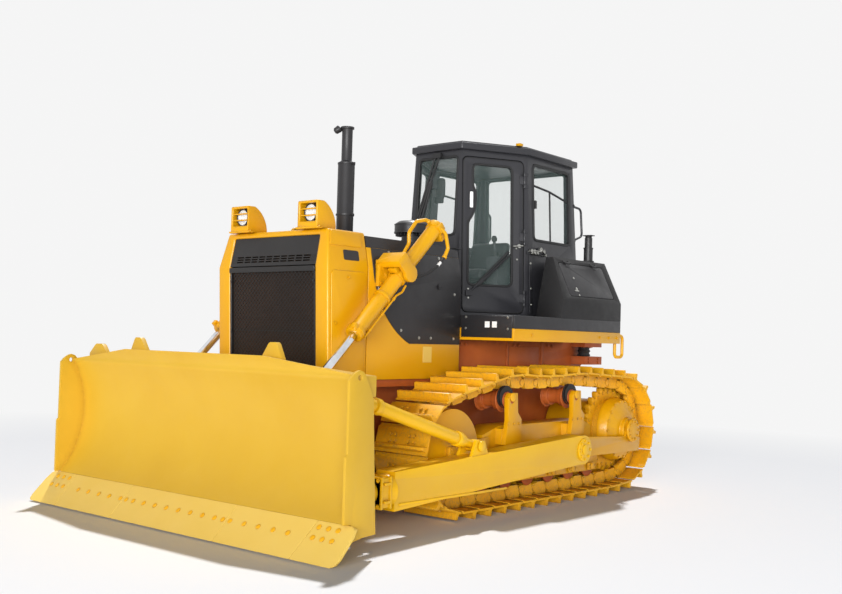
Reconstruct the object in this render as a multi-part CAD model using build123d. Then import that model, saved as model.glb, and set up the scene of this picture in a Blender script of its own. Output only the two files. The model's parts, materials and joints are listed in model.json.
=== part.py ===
"""Crawler bulldozer of the 220 hp class with a straight tilting blade, in millimetres.

The machine faces -Y, +X is its left-hand side and Z = 0 is the ground under the track grousers.
Sub-parts are built on the left (+X) side and mirrored where the machine is symmetrical.
"""
from build123d import *
from math import atan2, acos, cos, degrees, pi, radians, sin, tan
import os

# ---------------------------------------------------------------- driving sizes: running gear
TRACK_GAUGE = 2000.0          # between the middles of the two tracks
SHOE_WIDTH = 560.0
SHOES, PITCH = 38, 216.0      # shoes in one track, distance between link pins
IDLER_Y, IDLER_PIN_R = -646.0, 420.0
WHEEL_BASE = 2730.0           # idler axle to sprocket axle
SPROCKET_PIN_R, SPROCKET_LIFT = 468.0, 16.0
TEETH = 27
GROUSER_TIP = 135.0           # pin line to grouser tip
PLATE_OUT, PLATE_IN = 76.0, 58.0   # shoe plate faces from the pin line
RAIL_DEPTH = 57.0             # pin line to the rail's rolling face
RAIL_IN, RAIL_OUT = 60.0, 105.0    # rail faces from the track's middle plane
SHOE_GAP = 4.0
GROUSER_AT, GROUSER_FOOT, GROUSER_TOP = 150.0, 34.0, 18.0
RUN = 0.3                     # running clearance between rolling faces
CARRIER_R, CARRIER_Z = 92.0, 972.0
CARRIER_YS = (IDLER_Y + 746, IDLER_Y + WHEEL_BASE - 924)
CARRIER_EASE = 20.0           # room for the straight links where they pass over a carrier roller
TOP_SAG = 27.0
ROLLER_R, ROLLER_COUNT = 88.0, 6
ROLLER_FIRST_Y, ROLLER_LAST_Y = IDLER_Y + 466, IDLER_Y + WHEEL_BASE - 524
BOTTOM_RUN_END = IDLER_Y + WHEEL_BASE - 324       # where the ground run lifts towards the sprocket

# ---------------------------------------------------------------- driving sizes: frames and hull
FRAME_HALF = 120.0            # track frame box, half width
FRAME_Z0, FRAME_Z1 = 400.0, 740.0
FRAME_Y0, FRAME_Y1 = IDLER_Y + 456, IDLER_Y + WHEEL_BASE - 484
SKIRT = 20.0                  # side plates that hold the roller axles
HULL_HALF, BELLY_Z, HULL_TOP = 450.0, 420.0, 1120.0
HULL_FRONT, HULL_REAR = -1500.0, 2200.0
TUNNEL_HALF = 600.0           # upper hull under the platform
MOUNT_Z0, MOUNT_Z1 = 1265.0, 1350.0
ARM_PIVOT_Y, ARM_PIVOT_Z, ARM_PIVOT_R = 870.0, 512.0, 70.0
ARM_X0, ARM_X1 = 1320.0, 1500.0
DRAWBAR_END, DRAWBAR_BORE = 2730.0, 60.0
WINCH_X, WINCH_HIGH, WINCH_Z, WINCH_HOLE_R = 500.0, 200.0, 900.0, 13.0   # rear bolt pattern

# ---------------------------------------------------------------- driving sizes: hood and guard
SIDE_X = 675.0                # hood side plane, flush with the guard
GUARD_X, GUARD_TOP_X = 675.0, 614.0
GUARD_CREASE_Y, GUARD_CREASE_Z = -1693.0, 2063.0
GUARD_TOP_Y, GUARD_TOP_Z = -1640.0, 2360.0
GUARD_FOOT_Y, GUARD_FOOT_Z = -1630.0, 640.0
GUARD_BACK = -1215.0
HOOD_SIDE_Z0, HOOD_SIDE_Z1 = 1143.0, 2240.0
HOOD_TOP_Z, HOOD_REAR_Z, HOOD_REAR = 2335.0, 2265.0, 366.0
HAT_PLACE, HAT_Z = (100.0, -30.0), HOOD_TOP_Z + 151     # middle and foot of the pre-cleaner hat
HAT_R, HAT_RIM, HAT_NECK_R = 160.0, 85.0, 92.0
HOOD_BREAK = -250.0           # where the hood top starts to fall towards the cab
BAY_FRONT, BAY_LOW, BAY_T = -1165.0, 1447.0, 6.0      # black panels over the rear of the engine bay
COWL_HALF = 330.0             # rear end of the hood in front of the cab
STACK_Y, STACK_R, MUFFLER_R = -830.0, 48.0, 76.0
LAMP_X, LAMP_HALF, LAMP_HIGH, LAMP_AHEAD, LAMP_LONG = 421.0, 114.0, 230.0, 50.0, 220.0
GRILLE_X, GRILLE_Z0, GRILLE_Z1, GRILLE_IN = 526.0, 1010.0, 2312.0, 55.0
SHEET = 20.0

# ---------------------------------------------------------------- driving sizes: platform and cab
FENDER_X = 1280.0
FENDER_Y0, FENDER_Y1 = 20.0, 1878.0
RISER_T = 6.0
STRIP_Z0, STRIP_Z1, PLATFORM_Z = 1495.0, 1605.0, 1720.0
CAB_TOP, CAB_WALL, CAB_LEAN = 3350.0, 50.0, 70.0
CAB_NOTCH_Y, CAB_NOTCH_Z = 1500.0, 2270.0
ROOF_TOP, ROOF_OVERHANG = CAB_TOP + 90, 40.0
WINDOW_TOP = CAB_TOP - 60     # upper edge of the fixed panes
SIDE_PANE_Z, FRONT_PANE_Z, REAR_PANE_Z = PLATFORM_Z + 790, PLATFORM_Z + 790, PLATFORM_Z + 700
# cab outline under the roof: half width, y
CAB_PLAN = ((296.0, 471.0), (630.0, 1100.0), (600.0, 1990.0))
SIDE_PANE_Y0, SIDE_PANE_Y1 = CAB_PLAN[1][1] + 100, CAB_PLAN[2][1] - 80

# ---------------------------------------------------------------- driving sizes: blade
BLADE_HALF, BLADE_WIDTH = 1768.0, 3725.0
EDGE_Y, EDGE_Z = -2730.0, 12.0
EDGE_TOP_Y, EDGE_TOP_Z = -2505.0, 250.0
BLADE_TOP_Y, BLADE_TOP_Z, BLADE_CORNER_Z = -2500.0, 1342.0, 1224.0
HORN_Y, NECK_Y, EDGE_JOINT = (-2385.0, -2345.0), -2040.0, 640.0
PLATE = 22.0
ARCH_X = 850.0                # half length of the blade's level top
EDGE_T, EDGE_LIP = 25.0, 170.0
LUG_GAP, LUG_T = 54.0, 26.0   # half opening and thickness of the brace lugs
LIFT_X = 820.0
LIFT_TRUNNION = (-985.0, 2030.0)
LIFT_EYE = (-2163.0, 900.0)
BARREL_UP, BARREL_DOWN, BARREL_R, LIFT_ROD_R, TRUNNION_R = 635.0, 754.0, 64.0, 36.0, 32.0
BRACE_X = (ARM_X0 + ARM_X1) / 2
ARM_Z = 375.0                 # middle of the arm's ball joint at the blade
BRACE_FOOT, BRACE_HEAD = (-700.0, 640.0), (-2190.0, 1085.0)

WHEEL_Y = IDLER_Y + WHEEL_BASE
PIN_GROUND = GROUSER_TIP
IDLER_Z = PIN_GROUND + IDLER_PIN_R
SPROCKET_Z = PIN_GROUND + SPROCKET_LIFT + SPROCKET_PIN_R
TRACK_X = TRACK_GAUGE / 2
SHOE_X0, SHOE_X1 = TRACK_X - SHOE_WIDTH / 2, TRACK_X + SHOE_WIDTH / 2
POST_X = TRACK_X + 180        # inner face of the carrier roller posts


# ---------------------------------------------------------------- shape helpers
def block(x0, x1, y0, y1, z0, z1):
    """Box between two corners."""
    return Pos((x0 + x1) / 2, (y0 + y1) / 2, (z0 + z1) / 2) * Box(x1 - x0, y1 - y0, z1 - z0)


def side_slab(points, x0, x1):
    """Outline in (y, z) drawn out from x0 to x1."""
    face = Plane.YZ.offset(x0) * make_face(Polyline(*points, close=True))
    return extrude(face, amount=x1 - x0, dir=(1, 0, 0))


def front_slab(points, y0, y1):
    """Outline in (x, z) drawn out from y0 to y1."""
    face = Plane.XZ.offset(-y0) * make_face(Polyline(*points, close=True))
    return extrude(face, amount=y1 - y0, dir=(0, 1, 0))


def flat_slab(points, z0, z1):
    """Outline in (x, y) drawn up from z0 to z1."""
    face = Plane.XY.offset(z0) * make_face(Polyline(*points, close=True))
    return extrude(face, amount=z1 - z0, dir=(0, 0, 1))


def bar_x(radius, x0, x1, y, z):
    """Round bar along X."""
    return Pos((x0 + x1) / 2, y, z) * Rot(0, 90, 0) * Cylinder(radius, x1 - x0)


def bar_z(radius, x, y, z0, z1):
    """Round bar along Z."""
    return Pos(x, y, (z0 + z1) / 2) * Cylinder(radius, z1 - z0)


def bar(start, end, radius, radius_end=None):
    """Round or tapered bar between two points."""
    run = Vector(*end) - Vector(*start)
    plane = Plane(origin=start, z_dir=run)
    if radius_end is None:
        return plane * Cylinder(radius, run.length, align=(Align.CENTER, Align.CENTER, Align.MIN))
    return plane * Cone(radius, radius_end, run.length, align=(Align.CENTER, Align.CENTER, Align.MIN))


def ring_bar(points, radius, bend):
    """Bent tube through points, with rounded corners."""
    path = FilletPolyline(*points, radius=bend)
    start = Plane(origin=path @ 0, z_dir=path % 0)
    return sweep(start * Circle(radius), path=path)


def both(shape):
    """The left-hand shape and its mirror image, as solids of one node."""
    return shape + mirror(shape, about=Plane.YZ)


def save(shape, name):
    """Write one node."""
    solids = shape.solids()
    shape = solids[0] if len(solids) == 1 else Compound(children=list(solids))
    shape.label = name
    export_step(shape, f"parts/{name}.step")


# ---------------------------------------------------------------- tracks
def tangent_point(point, centre, radius, turn):
    """Point where a line from point touches a circle; turn is +1 or -1 for the side."""
    dy, dz = point[0] - centre[0], point[1] - centre[1]
    reach = (dy * dy + dz * dz) ** 0.5
    angle = atan2(dz, dy) + turn * acos(radius / reach)
    return centre[0] + radius * cos(angle), centre[1] + radius * sin(angle)


def pin_line():
    """Closed line through the link pins, in (y, z)."""
    idler, sprocket = (IDLER_Y, IDLER_Z), (WHEEL_Y, SPROCKET_Z)
    carrier_pin_z = CARRIER_Z + CARRIER_R + RAIL_DEPTH + CARRIER_EASE
    front, rear = ((y, carrier_pin_z) for y in CARRIER_YS)
    middle = ((front[0] + rear[0]) / 2, carrier_pin_z - TOP_SAG)
    lift_off = (BOTTOM_RUN_END, PIN_GROUND)
    under_idler = (IDLER_Y, PIN_GROUND)
    on_sprocket = tangent_point(lift_off, sprocket, SPROCKET_PIN_R, 1)
    off_sprocket = tangent_point(rear, sprocket, SPROCKET_PIN_R, -1)
    on_idler = tangent_point(front, idler, IDLER_PIN_R, 1)
    return Wire([
        Line(under_idler, lift_off),
        Line(lift_off, on_sprocket),
        ThreePointArc(on_sprocket, (WHEEL_Y + SPROCKET_PIN_R, SPROCKET_Z), off_sprocket),
        Line(off_sprocket, rear),
        ThreePointArc(rear, middle, front),
        Line(front, on_idler),
        ThreePointArc(on_idler, (IDLER_Y - IDLER_PIN_R, IDLER_Z), under_idler),
    ])


def track():
    """One closed track: 38 single-grouser shoes on two link rails."""
    line = pin_line()
    pins = [line @ (i / SHOES) for i in range(SHOES)]
    along = [(pins[(i + 1) % SHOES] - pins[i]) for i in range(SHOES)]
    out = [Vector(a.Y, -a.X).normalized() for a in along]
    at_pin = [(out[i - 1] + out[i]).normalized() for i in range(SHOES)]
    # shoe outline: share along the shoe from its first pin, offset from the pin line
    shoe = ((SHOE_GAP, PLATE_OUT), (GROUSER_AT, PLATE_OUT), (GROUSER_AT + 6, GROUSER_TIP),
            (GROUSER_AT + 6 + GROUSER_TOP, GROUSER_TIP), (GROUSER_AT + GROUSER_FOOT, PLATE_OUT),
            (-SHOE_GAP, PLATE_OUT))
    outer = []
    for pin, step, normal in zip(pins, along, out):
        for share, offset in shoe:
            run = share if share > 0 else step.length + share
            point = pin + step.normalized() * run + normal * offset
            outer.append((point.X, point.Y))

    def ring(offset):
        return [((p + n * offset).X, (p + n * offset).Y) for p, n in zip(pins, at_pin)]

    plates = side_slab(outer, SHOE_X0, SHOE_X1) - side_slab(ring(PLATE_IN), SHOE_X0, SHOE_X1)
    hoop = side_slab(ring(PLATE_IN), 0, RAIL_OUT - RAIL_IN) - side_slab(ring(-RAIL_DEPTH), 0, RAIL_OUT - RAIL_IN)
    inner_rail = Pos(TRACK_X - RAIL_OUT, 0, 0) * hoop
    outer_rail = Pos(TRACK_X + RAIL_IN, 0, 0) * hoop
    return plates + inner_rail + outer_rail


def idler():
    """Front idler with its centre flange, hub, axle and outer guard disc."""
    tread = IDLER_PIN_R * cos(PITCH / 2 / IDLER_PIN_R) - RAIL_DEPTH - RUN
    wheel = bar_x(tread, TRACK_X - RAIL_OUT, TRACK_X + RAIL_OUT, IDLER_Y, IDLER_Z)
    flange = bar_x(tread + 22, TRACK_X - 48, TRACK_X + 48, IDLER_Y, IDLER_Z)
    dish = bar_x(tread - 55, TRACK_X + RAIL_OUT - 30, TRACK_X + RAIL_OUT + 1, IDLER_Y, IDLER_Z)
    dish_in = bar_x(tread - 55, TRACK_X - RAIL_OUT - 1, TRACK_X - RAIL_OUT + 30, IDLER_Y, IDLER_Z)
    hub = bar_x(110, TRACK_X - RAIL_OUT, TRACK_X + RAIL_OUT, IDLER_Y, IDLER_Z)
    return wheel + flange - dish - dish_in + hub


def sprocket():
    """Rear drive sprocket with half-pitch teeth and its hub."""
    tip, root = SPROCKET_PIN_R - 34, SPROCKET_PIN_R - 78
    points = []
    for tooth in range(TEETH):
        # column 1: share of a tooth pitch, column 2: radius
        for share, radius in ((-0.32, root), (-0.14, tip), (0.14, tip), (0.32, root)):
            angle = 2 * pi * (tooth + share) / TEETH
            points.append((WHEEL_Y + radius * cos(angle), SPROCKET_Z + radius * sin(angle)))
    rim = side_slab(points, TRACK_X - 28, TRACK_X + 28)
    hub = bar_x(300, TRACK_X - 95, TRACK_X + 95, WHEEL_Y, SPROCKET_Z)
    return rim + hub


def roller(y, z, tread, flange, axle_out):
    """Flanged roller with its axle, along X about the track's middle plane."""
    body = bar_x(tread - 22, TRACK_X - RAIL_OUT - 14, TRACK_X + RAIL_OUT + 14, y, z)
    for side in (-1, 1):
        x0, x1 = sorted((TRACK_X + side * (RAIL_IN - 4), TRACK_X + side * (RAIL_OUT + 4)))
        f0, f1 = sorted((TRACK_X + side * (RAIL_OUT + 4), TRACK_X + side * (RAIL_OUT + 16)))
        body += bar_x(tread, x0, x1, y, z) + bar_x(flange, f0, f1, y, z)
    return body + bar_x(30, TRACK_X - axle_out[0], TRACK_X + axle_out[1], y, z)


def track_rollers():
    """The ground rollers of one side."""
    z = PIN_GROUND + RAIL_DEPTH + RUN + ROLLER_R
    step = (ROLLER_LAST_Y - ROLLER_FIRST_Y) / (ROLLER_COUNT - 1)
    out = FRAME_HALF + 10 + SKIRT
    rows = [roller(ROLLER_FIRST_Y + i * step, z, ROLLER_R, ROLLER_R + 17, (out, out))
            for i in range(ROLLER_COUNT)]
    return rows


def carrier_rollers():
    """The two upper rollers of one side, with end caps."""
    rows = []
    for y in CARRIER_YS:
        wheel = roller(y, CARRIER_Z, CARRIER_R, CARRIER_R + 20, (RAIL_OUT + 16, POST_X + 45 - TRACK_X))
        rows.append(wheel + bar_x(72, TRACK_X + RAIL_OUT + 16, POST_X - 4, y, CARRIER_Z))
    return rows


def track_frame():
    """Box frame that carries the rollers, idler, arm trunnion and sprocket bearing."""
    x0, x1 = TRACK_X - FRAME_HALF, TRACK_X + FRAME_HALF
    top_front = FRAME_Z1 - 70
    frame = side_slab([(FRAME_Y0, FRAME_Z0), (FRAME_Y1, FRAME_Z0), (FRAME_Y1, FRAME_Z1 - 60),
                       (FRAME_Y1 - 160, FRAME_Z1), (FRAME_Y0 + 240, FRAME_Z1), (FRAME_Y0, top_front)], x0, x1)
    skirt_z = PIN_GROUND + RAIL_DEPTH + RUN + ROLLER_R
    step = (ROLLER_LAST_Y - ROLLER_FIRST_Y) / (ROLLER_COUNT - 1)
    for side in (-1, 1):
        s0, s1 = sorted((TRACK_X + side * (FRAME_HALF + 10), TRACK_X + side * (FRAME_HALF + 10 + SKIRT)))
        c0, c1 = sorted((TRACK_X + side * (FRAME_HALF - 1), TRACK_X + side * (FRAME_HALF + 10)))
        skirt = block(s0, s1, FRAME_Y0 - 130, FRAME_Y1 + 90, skirt_z - 42, FRAME_Z0 + 120)
        skirt += block(c0, c1, FRAME_Y0, FRAME_Y1, FRAME_Z0 + 10, FRAME_Z0 + 120)
        for i in range(ROLLER_COUNT):
            skirt -= bar_x(30 + RUN, s0 - 1, s1 + 1, ROLLER_FIRST_Y + i * step, skirt_z)
        fork = side_slab([(IDLER_Y - 90, IDLER_Z - 75), (FRAME_Y0 + 60, FRAME_Z0 + 20),
                          (FRAME_Y0 + 60, FRAME_Z1 - 90), (IDLER_Y - 60, IDLER_Z + 75),
                          (IDLER_Y - 100, IDLER_Z + 20)], s0, s1)
        fork_web = block(min(c0, c1), max(c0, c1), FRAME_Y0, FRAME_Y0 + 60, FRAME_Z0 + 20, FRAME_Z1 - 90)
        frame += skirt + fork + fork_web
    frame += bar_x(45, x0 - 30, x1 + 30, IDLER_Y, IDLER_Z)
    for y in CARRIER_YS:
        post = side_slab([(y - 95, FRAME_Z1 - 160), (y + 150, FRAME_Z1 - 160), (y + 150, FRAME_Z1 + 60),
                          (y + 92, FRAME_Z1 + 120), (y + 80, CARRIER_Z + 62), (y - 30, CARRIER_Z + 62),
                          (y - 60, CARRIER_Z + 20), (y - 50, FRAME_Z1 + 60)], POST_X, POST_X + 45)
        post -= bar_x(30 + RUN, POST_X - 10, POST_X + 55, y, CARRIER_Z)
        frame += post + block(x1 - 1, POST_X + 1, y - 95, y + 150, FRAME_Z1 - 160, FRAME_Z1 - 20)
    cover = bar_x(IDLER_PIN_R - 60, TRACK_X + 112, s1 - 4, IDLER_Y, IDLER_Z) - block(0, 2000, -2000, 2000, 0, IDLER_Z - 60)
    frame += cover - block(0, 2000, FRAME_Y0 - 60, 2000, 0, 2000)
    # outer beam: carries the push-arm trunnion and the outer bearing of the sprocket shaft
    beam_x0, beam_x1 = SHOE_X1 + 12, SHOE_X1 + 34
    beam = side_slab([(ARM_PIVOT_Y - 40, ARM_PIVOT_Z - 100), (WHEEL_Y + 156, 405.0), (WHEEL_Y + 176, 535.0),
                      (WHEEL_Y + 110, 545.0), (WHEEL_Y + 70, SPROCKET_Z + 100), (WHEEL_Y - 70, SPROCKET_Z + 100),
                      (WHEEL_Y - 120, 560.0), (ARM_PIVOT_Y - 40, ARM_PIVOT_Z + 105)], beam_x0, beam_x1)
    saddle = block(x1 - 1, beam_x0, ARM_PIVOT_Y - 130, ARM_PIVOT_Y + 220, ARM_PIVOT_Z - 80, ARM_PIVOT_Z + 80)
    rear_saddle = block(x1 - 1, beam_x0, FRAME_Y1 - 190, FRAME_Y1 - 20, 410, 520)
    stub = bar_x(ARM_PIVOT_R - RUN, beam_x1 - 1, ARM_X1 - 14, ARM_PIVOT_Y, ARM_PIVOT_Z)
    return frame + beam + saddle + rear_saddle + stub


def idler_with_bore():
    """Idler with room for the axle of the track frame."""
    return idler() - bar_x(45 + RUN, TRACK_X - 200, TRACK_X + 200, IDLER_Y, IDLER_Z)


def final_drive():
    """Inner gear case on the hull and outer stepped hub, either side of the sprocket."""
    inner = bar_x(290, HULL_HALF + RUN, TRACK_X - 95 - RUN, WHEEL_Y, SPROCKET_Z)
    outer = bar((TRACK_X + 95 + RUN, WHEEL_Y, SPROCKET_Z), (TRACK_X + 200, WHEEL_Y, SPROCKET_Z), 330, 292)
    outer += bar((TRACK_X + 199, WHEEL_Y, SPROCKET_Z), (TRACK_X + 245, WHEEL_Y, SPROCKET_Z), 275, 165)
    outer += bar_x(125, TRACK_X + 244, SHOE_X1 + 12 - RUN, WHEEL_Y, SPROCKET_Z)
    cap = bar_x(118, SHOE_X1 + 34 + RUN, SHOE_X1 + 62, WHEEL_Y, SPROCKET_Z)
    return [inner, outer, cap]


# ---------------------------------------------------------------- hull, engine and hood
def main_frame():
    """Hull between the tracks with the tunnel under the platform and the rear drawbar."""
    hull = side_slab([(HULL_FRONT, 640), (HULL_FRONT + 160, BELLY_Z), (1850, BELLY_Z), (HULL_REAR, 560),
                      (HULL_REAR, 1050), (2060, HULL_TOP), (HULL_FRONT, HULL_TOP)], -HULL_HALF, HULL_HALF)
    tunnel = side_slab([(FENDER_Y0 + 20, HULL_TOP), (2040, HULL_TOP), (2265, MOUNT_Z0), (2300, MOUNT_Z1), (2330, 1395),
                        (2390, 1430), (2480, 1445), (2480, STRIP_Z0), (FENDER_Y0 + 20, STRIP_Z0)],
                       -TUNNEL_HALF, TUNNEL_HALF)
    shelf = block(-SIDE_X + SHEET, SIDE_X - SHEET, GUARD_BACK, FENDER_Y0 + 20, HULL_TOP - 40, HOOD_SIDE_Z0)
    cross = block(-(TRACK_X - FRAME_HALF - 30 - RUN), TRACK_X - FRAME_HALF - 30 - RUN, -160, 40, 430, 600)
    pivot = bar_x(95, -(TRACK_X - FRAME_HALF - 30 - RUN), TRACK_X - FRAME_HALF - 30 - RUN, WHEEL_Y - 634, 520)
    # rear mount of the platform: a block on the hull, its post, and the shelf over it
    outer = TUNNEL_HALF + 170
    mounts = both(block(TUNNEL_HALF - 1, outer, 2045, 2385, MOUNT_Z0, MOUNT_Z1)
                  + bar_z(48, TUNNEL_HALF + 90, 2150, MOUNT_Z1 - 1, 1451)
                  + block(TUNNEL_HALF - 1, outer, 2040, 2380, 1450, STRIP_Z0))
    frame = hull + tunnel + shelf + cross + pivot + mounts
    # blind tapped holes of the rear face, for a winch or a ripper frame
    for x in (-WINCH_X / 2, WINCH_X / 2):
        for z in (WINCH_Z - WINCH_HIGH / 2, WINCH_Z + WINCH_HIGH / 2):
            frame -= Pos(x, HULL_REAR - 20, z) * Rot(90, 0, 0) * Cylinder(WINCH_HOLE_R, 60)
    return frame


def drawbar():
    """Rear drawbar bracket with its two jaws and pin hole."""
    drawbar = block(-150, 150, HULL_REAR + RUN, DRAWBAR_END - 150, 470, 760)
    for z in (500.0, 655.0):
        jaw = flat_slab([(-150, DRAWBAR_END - 160), (150, DRAWBAR_END - 160), (110, DRAWBAR_END - 40),
                         (60, DRAWBAR_END), (-60, DRAWBAR_END), (-110, DRAWBAR_END - 40)], z, z + 75)
        drawbar += jaw
    drawbar -= bar_z(DRAWBAR_BORE / 2, 0, DRAWBAR_END - 80, 400, 800)
    return drawbar


def guard_outline():
    """Side view of the radiator guard."""
    return [(GUARD_FOOT_Y, GUARD_FOOT_Z), (GUARD_CREASE_Y, GUARD_CREASE_Z), (GUARD_TOP_Y, GUARD_TOP_Z),
            (GUARD_BACK, GUARD_TOP_Z), (GUARD_BACK, HOOD_SIDE_Z0), (HULL_FRONT - RUN, HOOD_SIDE_Z0),
            (HULL_FRONT - RUN, GUARD_FOOT_Z)]


def radiator_guard():
    """Heavy front guard with a pocket for the grille."""
    body = side_slab(guard_outline(), -GUARD_X, GUARD_X)
    front = front_slab([(-GUARD_X, 600), (GUARD_X, 600), (GUARD_X, GUARD_CREASE_Z), (GUARD_TOP_X, GUARD_TOP_Z),
                        (-GUARD_TOP_X, GUARD_TOP_Z), (-GUARD_X, GUARD_CREASE_Z)], -1800, -1000)
    pocket = side_slab([(-1800, GRILLE_Z0), (-1800, GRILLE_Z1), (GUARD_CREASE_Y + 90, GRILLE_Z1),
                        (GUARD_CREASE_Y + 55, GUARD_CREASE_Z), (GUARD_FOOT_Y + 20, GRILLE_Z0)],
                       -GRILLE_X, GRILLE_X)
    return (body & front) - pocket


def radiator_grille():
    """Black grille plate in the guard's pocket, creased like the guard."""
    depth = 30
    points = [(GUARD_FOOT_Y + 20 - RUN, GRILLE_Z0 + RUN), (GUARD_CREASE_Y + 55 - RUN, GUARD_CREASE_Z),
              (GUARD_CREASE_Y + 90 - RUN, GRILLE_Z1 - RUN), (GUARD_CREASE_Y + 90 - depth, GRILLE_Z1 - RUN),
              (GUARD_CREASE_Y + 55 - depth - 20, GUARD_CREASE_Z), (GUARD_FOOT_Y + 20 - depth, GRILLE_Z0 + RUN)]
    return side_slab(points, -GRILLE_X + RUN, GRILLE_X - RUN)


def wall_section(inner, outer, z0, z1):
    """Section of a hood wall in (x, z): straight up to the guard's crease and leaning in above it."""
    lean = (GUARD_X - GUARD_TOP_X) / (GUARD_TOP_Z - GUARD_CREASE_Z)
    top = SIDE_X - (z1 - GUARD_CREASE_Z) * lean
    return [(SIDE_X + inner, z0), (SIDE_X + outer, z0), (SIDE_X + outer, GUARD_CREASE_Z), (top + outer, z1),
            (top + inner, z1), (SIDE_X + inner, GUARD_CREASE_Z)]


def hood_top():
    """Black engine hood behind the guard, open below, with the narrower cowl in front of the cab."""
    y0, y1 = GUARD_BACK + RUN, HOOD_REAR
    shell = side_slab([(y0, HOOD_SIDE_Z1 + RUN), (y1, HOOD_SIDE_Z1 + RUN), (y1, HOOD_REAR_Z),
                       (HOOD_BREAK, HOOD_TOP_Z), (y0, HOOD_TOP_Z)], -SIDE_X, SIDE_X)
    wall = wall_section(0, 0, HOOD_SIDE_Z1, HOOD_TOP_Z)
    low, high = SIDE_X - 36, wall[3][0]
    shell &= front_slab([(-low, HOOD_SIDE_Z1), (low, HOOD_SIDE_Z1), (high, HOOD_TOP_Z), (-high, HOOD_TOP_Z)], y0, y1)
    shell -= block(-high + SHEET, high - SHEET, y0 - 1, FENDER_Y0 - SHEET, HOOD_SIDE_Z1 - 1, HOOD_REAR_Z - SHEET)
    cowl = block(-high, high, FENDER_Y0 + RUN, y1, PLATFORM_Z + RUN, HOOD_SIDE_Z1 + 1)
    plan = flat_slab([(-SIDE_X, y0), (SIDE_X, y0), (SIDE_X, FENDER_Y0), (high, FENDER_Y0), (COWL_HALF, y1),
                      (-COWL_HALF, y1), (-high, FENDER_Y0), (-SIDE_X, FENDER_Y0)], PLATFORM_Z, HOOD_TOP_Z + 1)
    return (shell + cowl) & plan


def hood_sides():
    """Side plates of the engine bay, left and right."""
    section = wall_section(-SHEET + RUN, 0, HOOD_SIDE_Z0 + RUN, HOOD_SIDE_Z1)
    return both(front_slab(section, GUARD_BACK + RUN, FENDER_Y0 - RUN))


def bay_panels():
    """Black rear panels over the engine bay's side plates, with their round front edge."""
    top, back = HOOD_SIDE_Z1 - 2, FENDER_Y0 - 5
    outline = Wire([
        Line((BAY_FRONT, top), (BAY_FRONT, GUARD_CREASE_Z)),
        ThreePointArc((BAY_FRONT, GUARD_CREASE_Z), (BAY_FRONT + 176, 1675), (BAY_FRONT + 480, BAY_LOW)),
        Line((BAY_FRONT + 480, BAY_LOW), (back, BAY_LOW)),
        Line((back, BAY_LOW), (back, top)),
        Line((back, top), (BAY_FRONT, top)),
    ])
    panel = extrude(Plane.YZ * make_face(outline), amount=GUARD_X + 50, dir=(1, 0, 0))
    panel &= front_slab(wall_section(RUN, RUN + BAY_T, BAY_LOW, top), BAY_FRONT - 1, back + 1)
    return both(panel - yoke_base(2))


def engine_block():
    """Engine and radiator mass as one plain block."""
    return block(-380, 380, -1150, -60, HOOD_SIDE_Z0 + RUN, 2000) + block(-SIDE_X + 90, SIDE_X - 90, -1210, -1100,
                                                                          HOOD_SIDE_Z0 + RUN, 2150)


def exhaust_stack():
    """Straight muffler on the hood and the outlet with a turned-out lip."""
    seat, muffler_top, tip = HOOD_TOP_Z + RUN, HOOD_TOP_Z + 715, HOOD_TOP_Z + 1042
    bore = STACK_R - 6
    body = bar_z(MUFFLER_R, 0, STACK_Y, seat, muffler_top)
    body += Pos(0, STACK_Y, muffler_top + 10) * Cone(MUFFLER_R, STACK_R, 20)
    body += bar_z(MUFFLER_R + 4, 0, STACK_Y, seat + 240, seat + 252)
    pipe = bar_z(STACK_R, 0, STACK_Y, muffler_top - 20, tip - 10)
    lip = bar_z(STACK_R + 13, 0, STACK_Y, tip - 20, tip)
    return body + pipe + lip - bar_z(bore, 0, STACK_Y, tip - 230, tip + 10)


def precleaner():
    """Flat air pre-cleaner hat on its short neck, in front of the cab."""
    x, y = HAT_PLACE
    neck = bar_z(HAT_NECK_R, x, y, HOOD_REAR_Z, HAT_Z)
    under = side_slab([(HOOD_BREAK, HOOD_REAR_Z - 100), (HOOD_REAR, HOOD_REAR_Z - 100),
                       (HOOD_REAR, HOOD_REAR_Z + RUN), (HOOD_BREAK, HOOD_TOP_Z + RUN)], x - HAT_R, x + HAT_R)
    hat = bar_z(HAT_R, x, y, HAT_Z, HAT_Z + HAT_RIM) + Pos(x, y, HAT_Z + HAT_RIM + 15) * Cone(HAT_R, HAT_R - 45, 30)
    return neck - under + hat


def head_lamps():
    """Two forward lamp housings on the guard, hollow at the front and round behind."""
    front, back, foot = GUARD_TOP_Y - LAMP_AHEAD, GUARD_TOP_Y - LAMP_AHEAD + LAMP_LONG, GUARD_TOP_Z + RUN
    top = GUARD_TOP_Z + LAMP_HIGH
    outline = Wire([
        Line((front, foot), (front, top)),
        Line((front, top), (front + 80, top)),
        ThreePointArc((front + 80, top), (back - 40, foot + 145), (back, foot + 35)),
        Line((back, foot + 35), (back, foot)),
        Line((back, foot), (front, foot)),
    ])
    x0, x1 = LAMP_X - LAMP_HALF, LAMP_X + LAMP_HALF
    lamp = extrude(Plane.YZ.offset(x0) * make_face(outline), amount=x1 - x0, dir=(1, 0, 0))
    mouth = block(x0 + 22, x1 - 22, front - 10, front + 90, foot + 60, top - 22)
    return both(lamp - mouth)


def lamp_lenses():
    """Round lamps in the housings."""
    y, z = GUARD_TOP_Y - LAMP_AHEAD + 65, GUARD_TOP_Z + 134
    return both(Pos(LAMP_X, y, z) * Rot(90, 0, 0) * Cylinder(66, 49.4))


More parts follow.
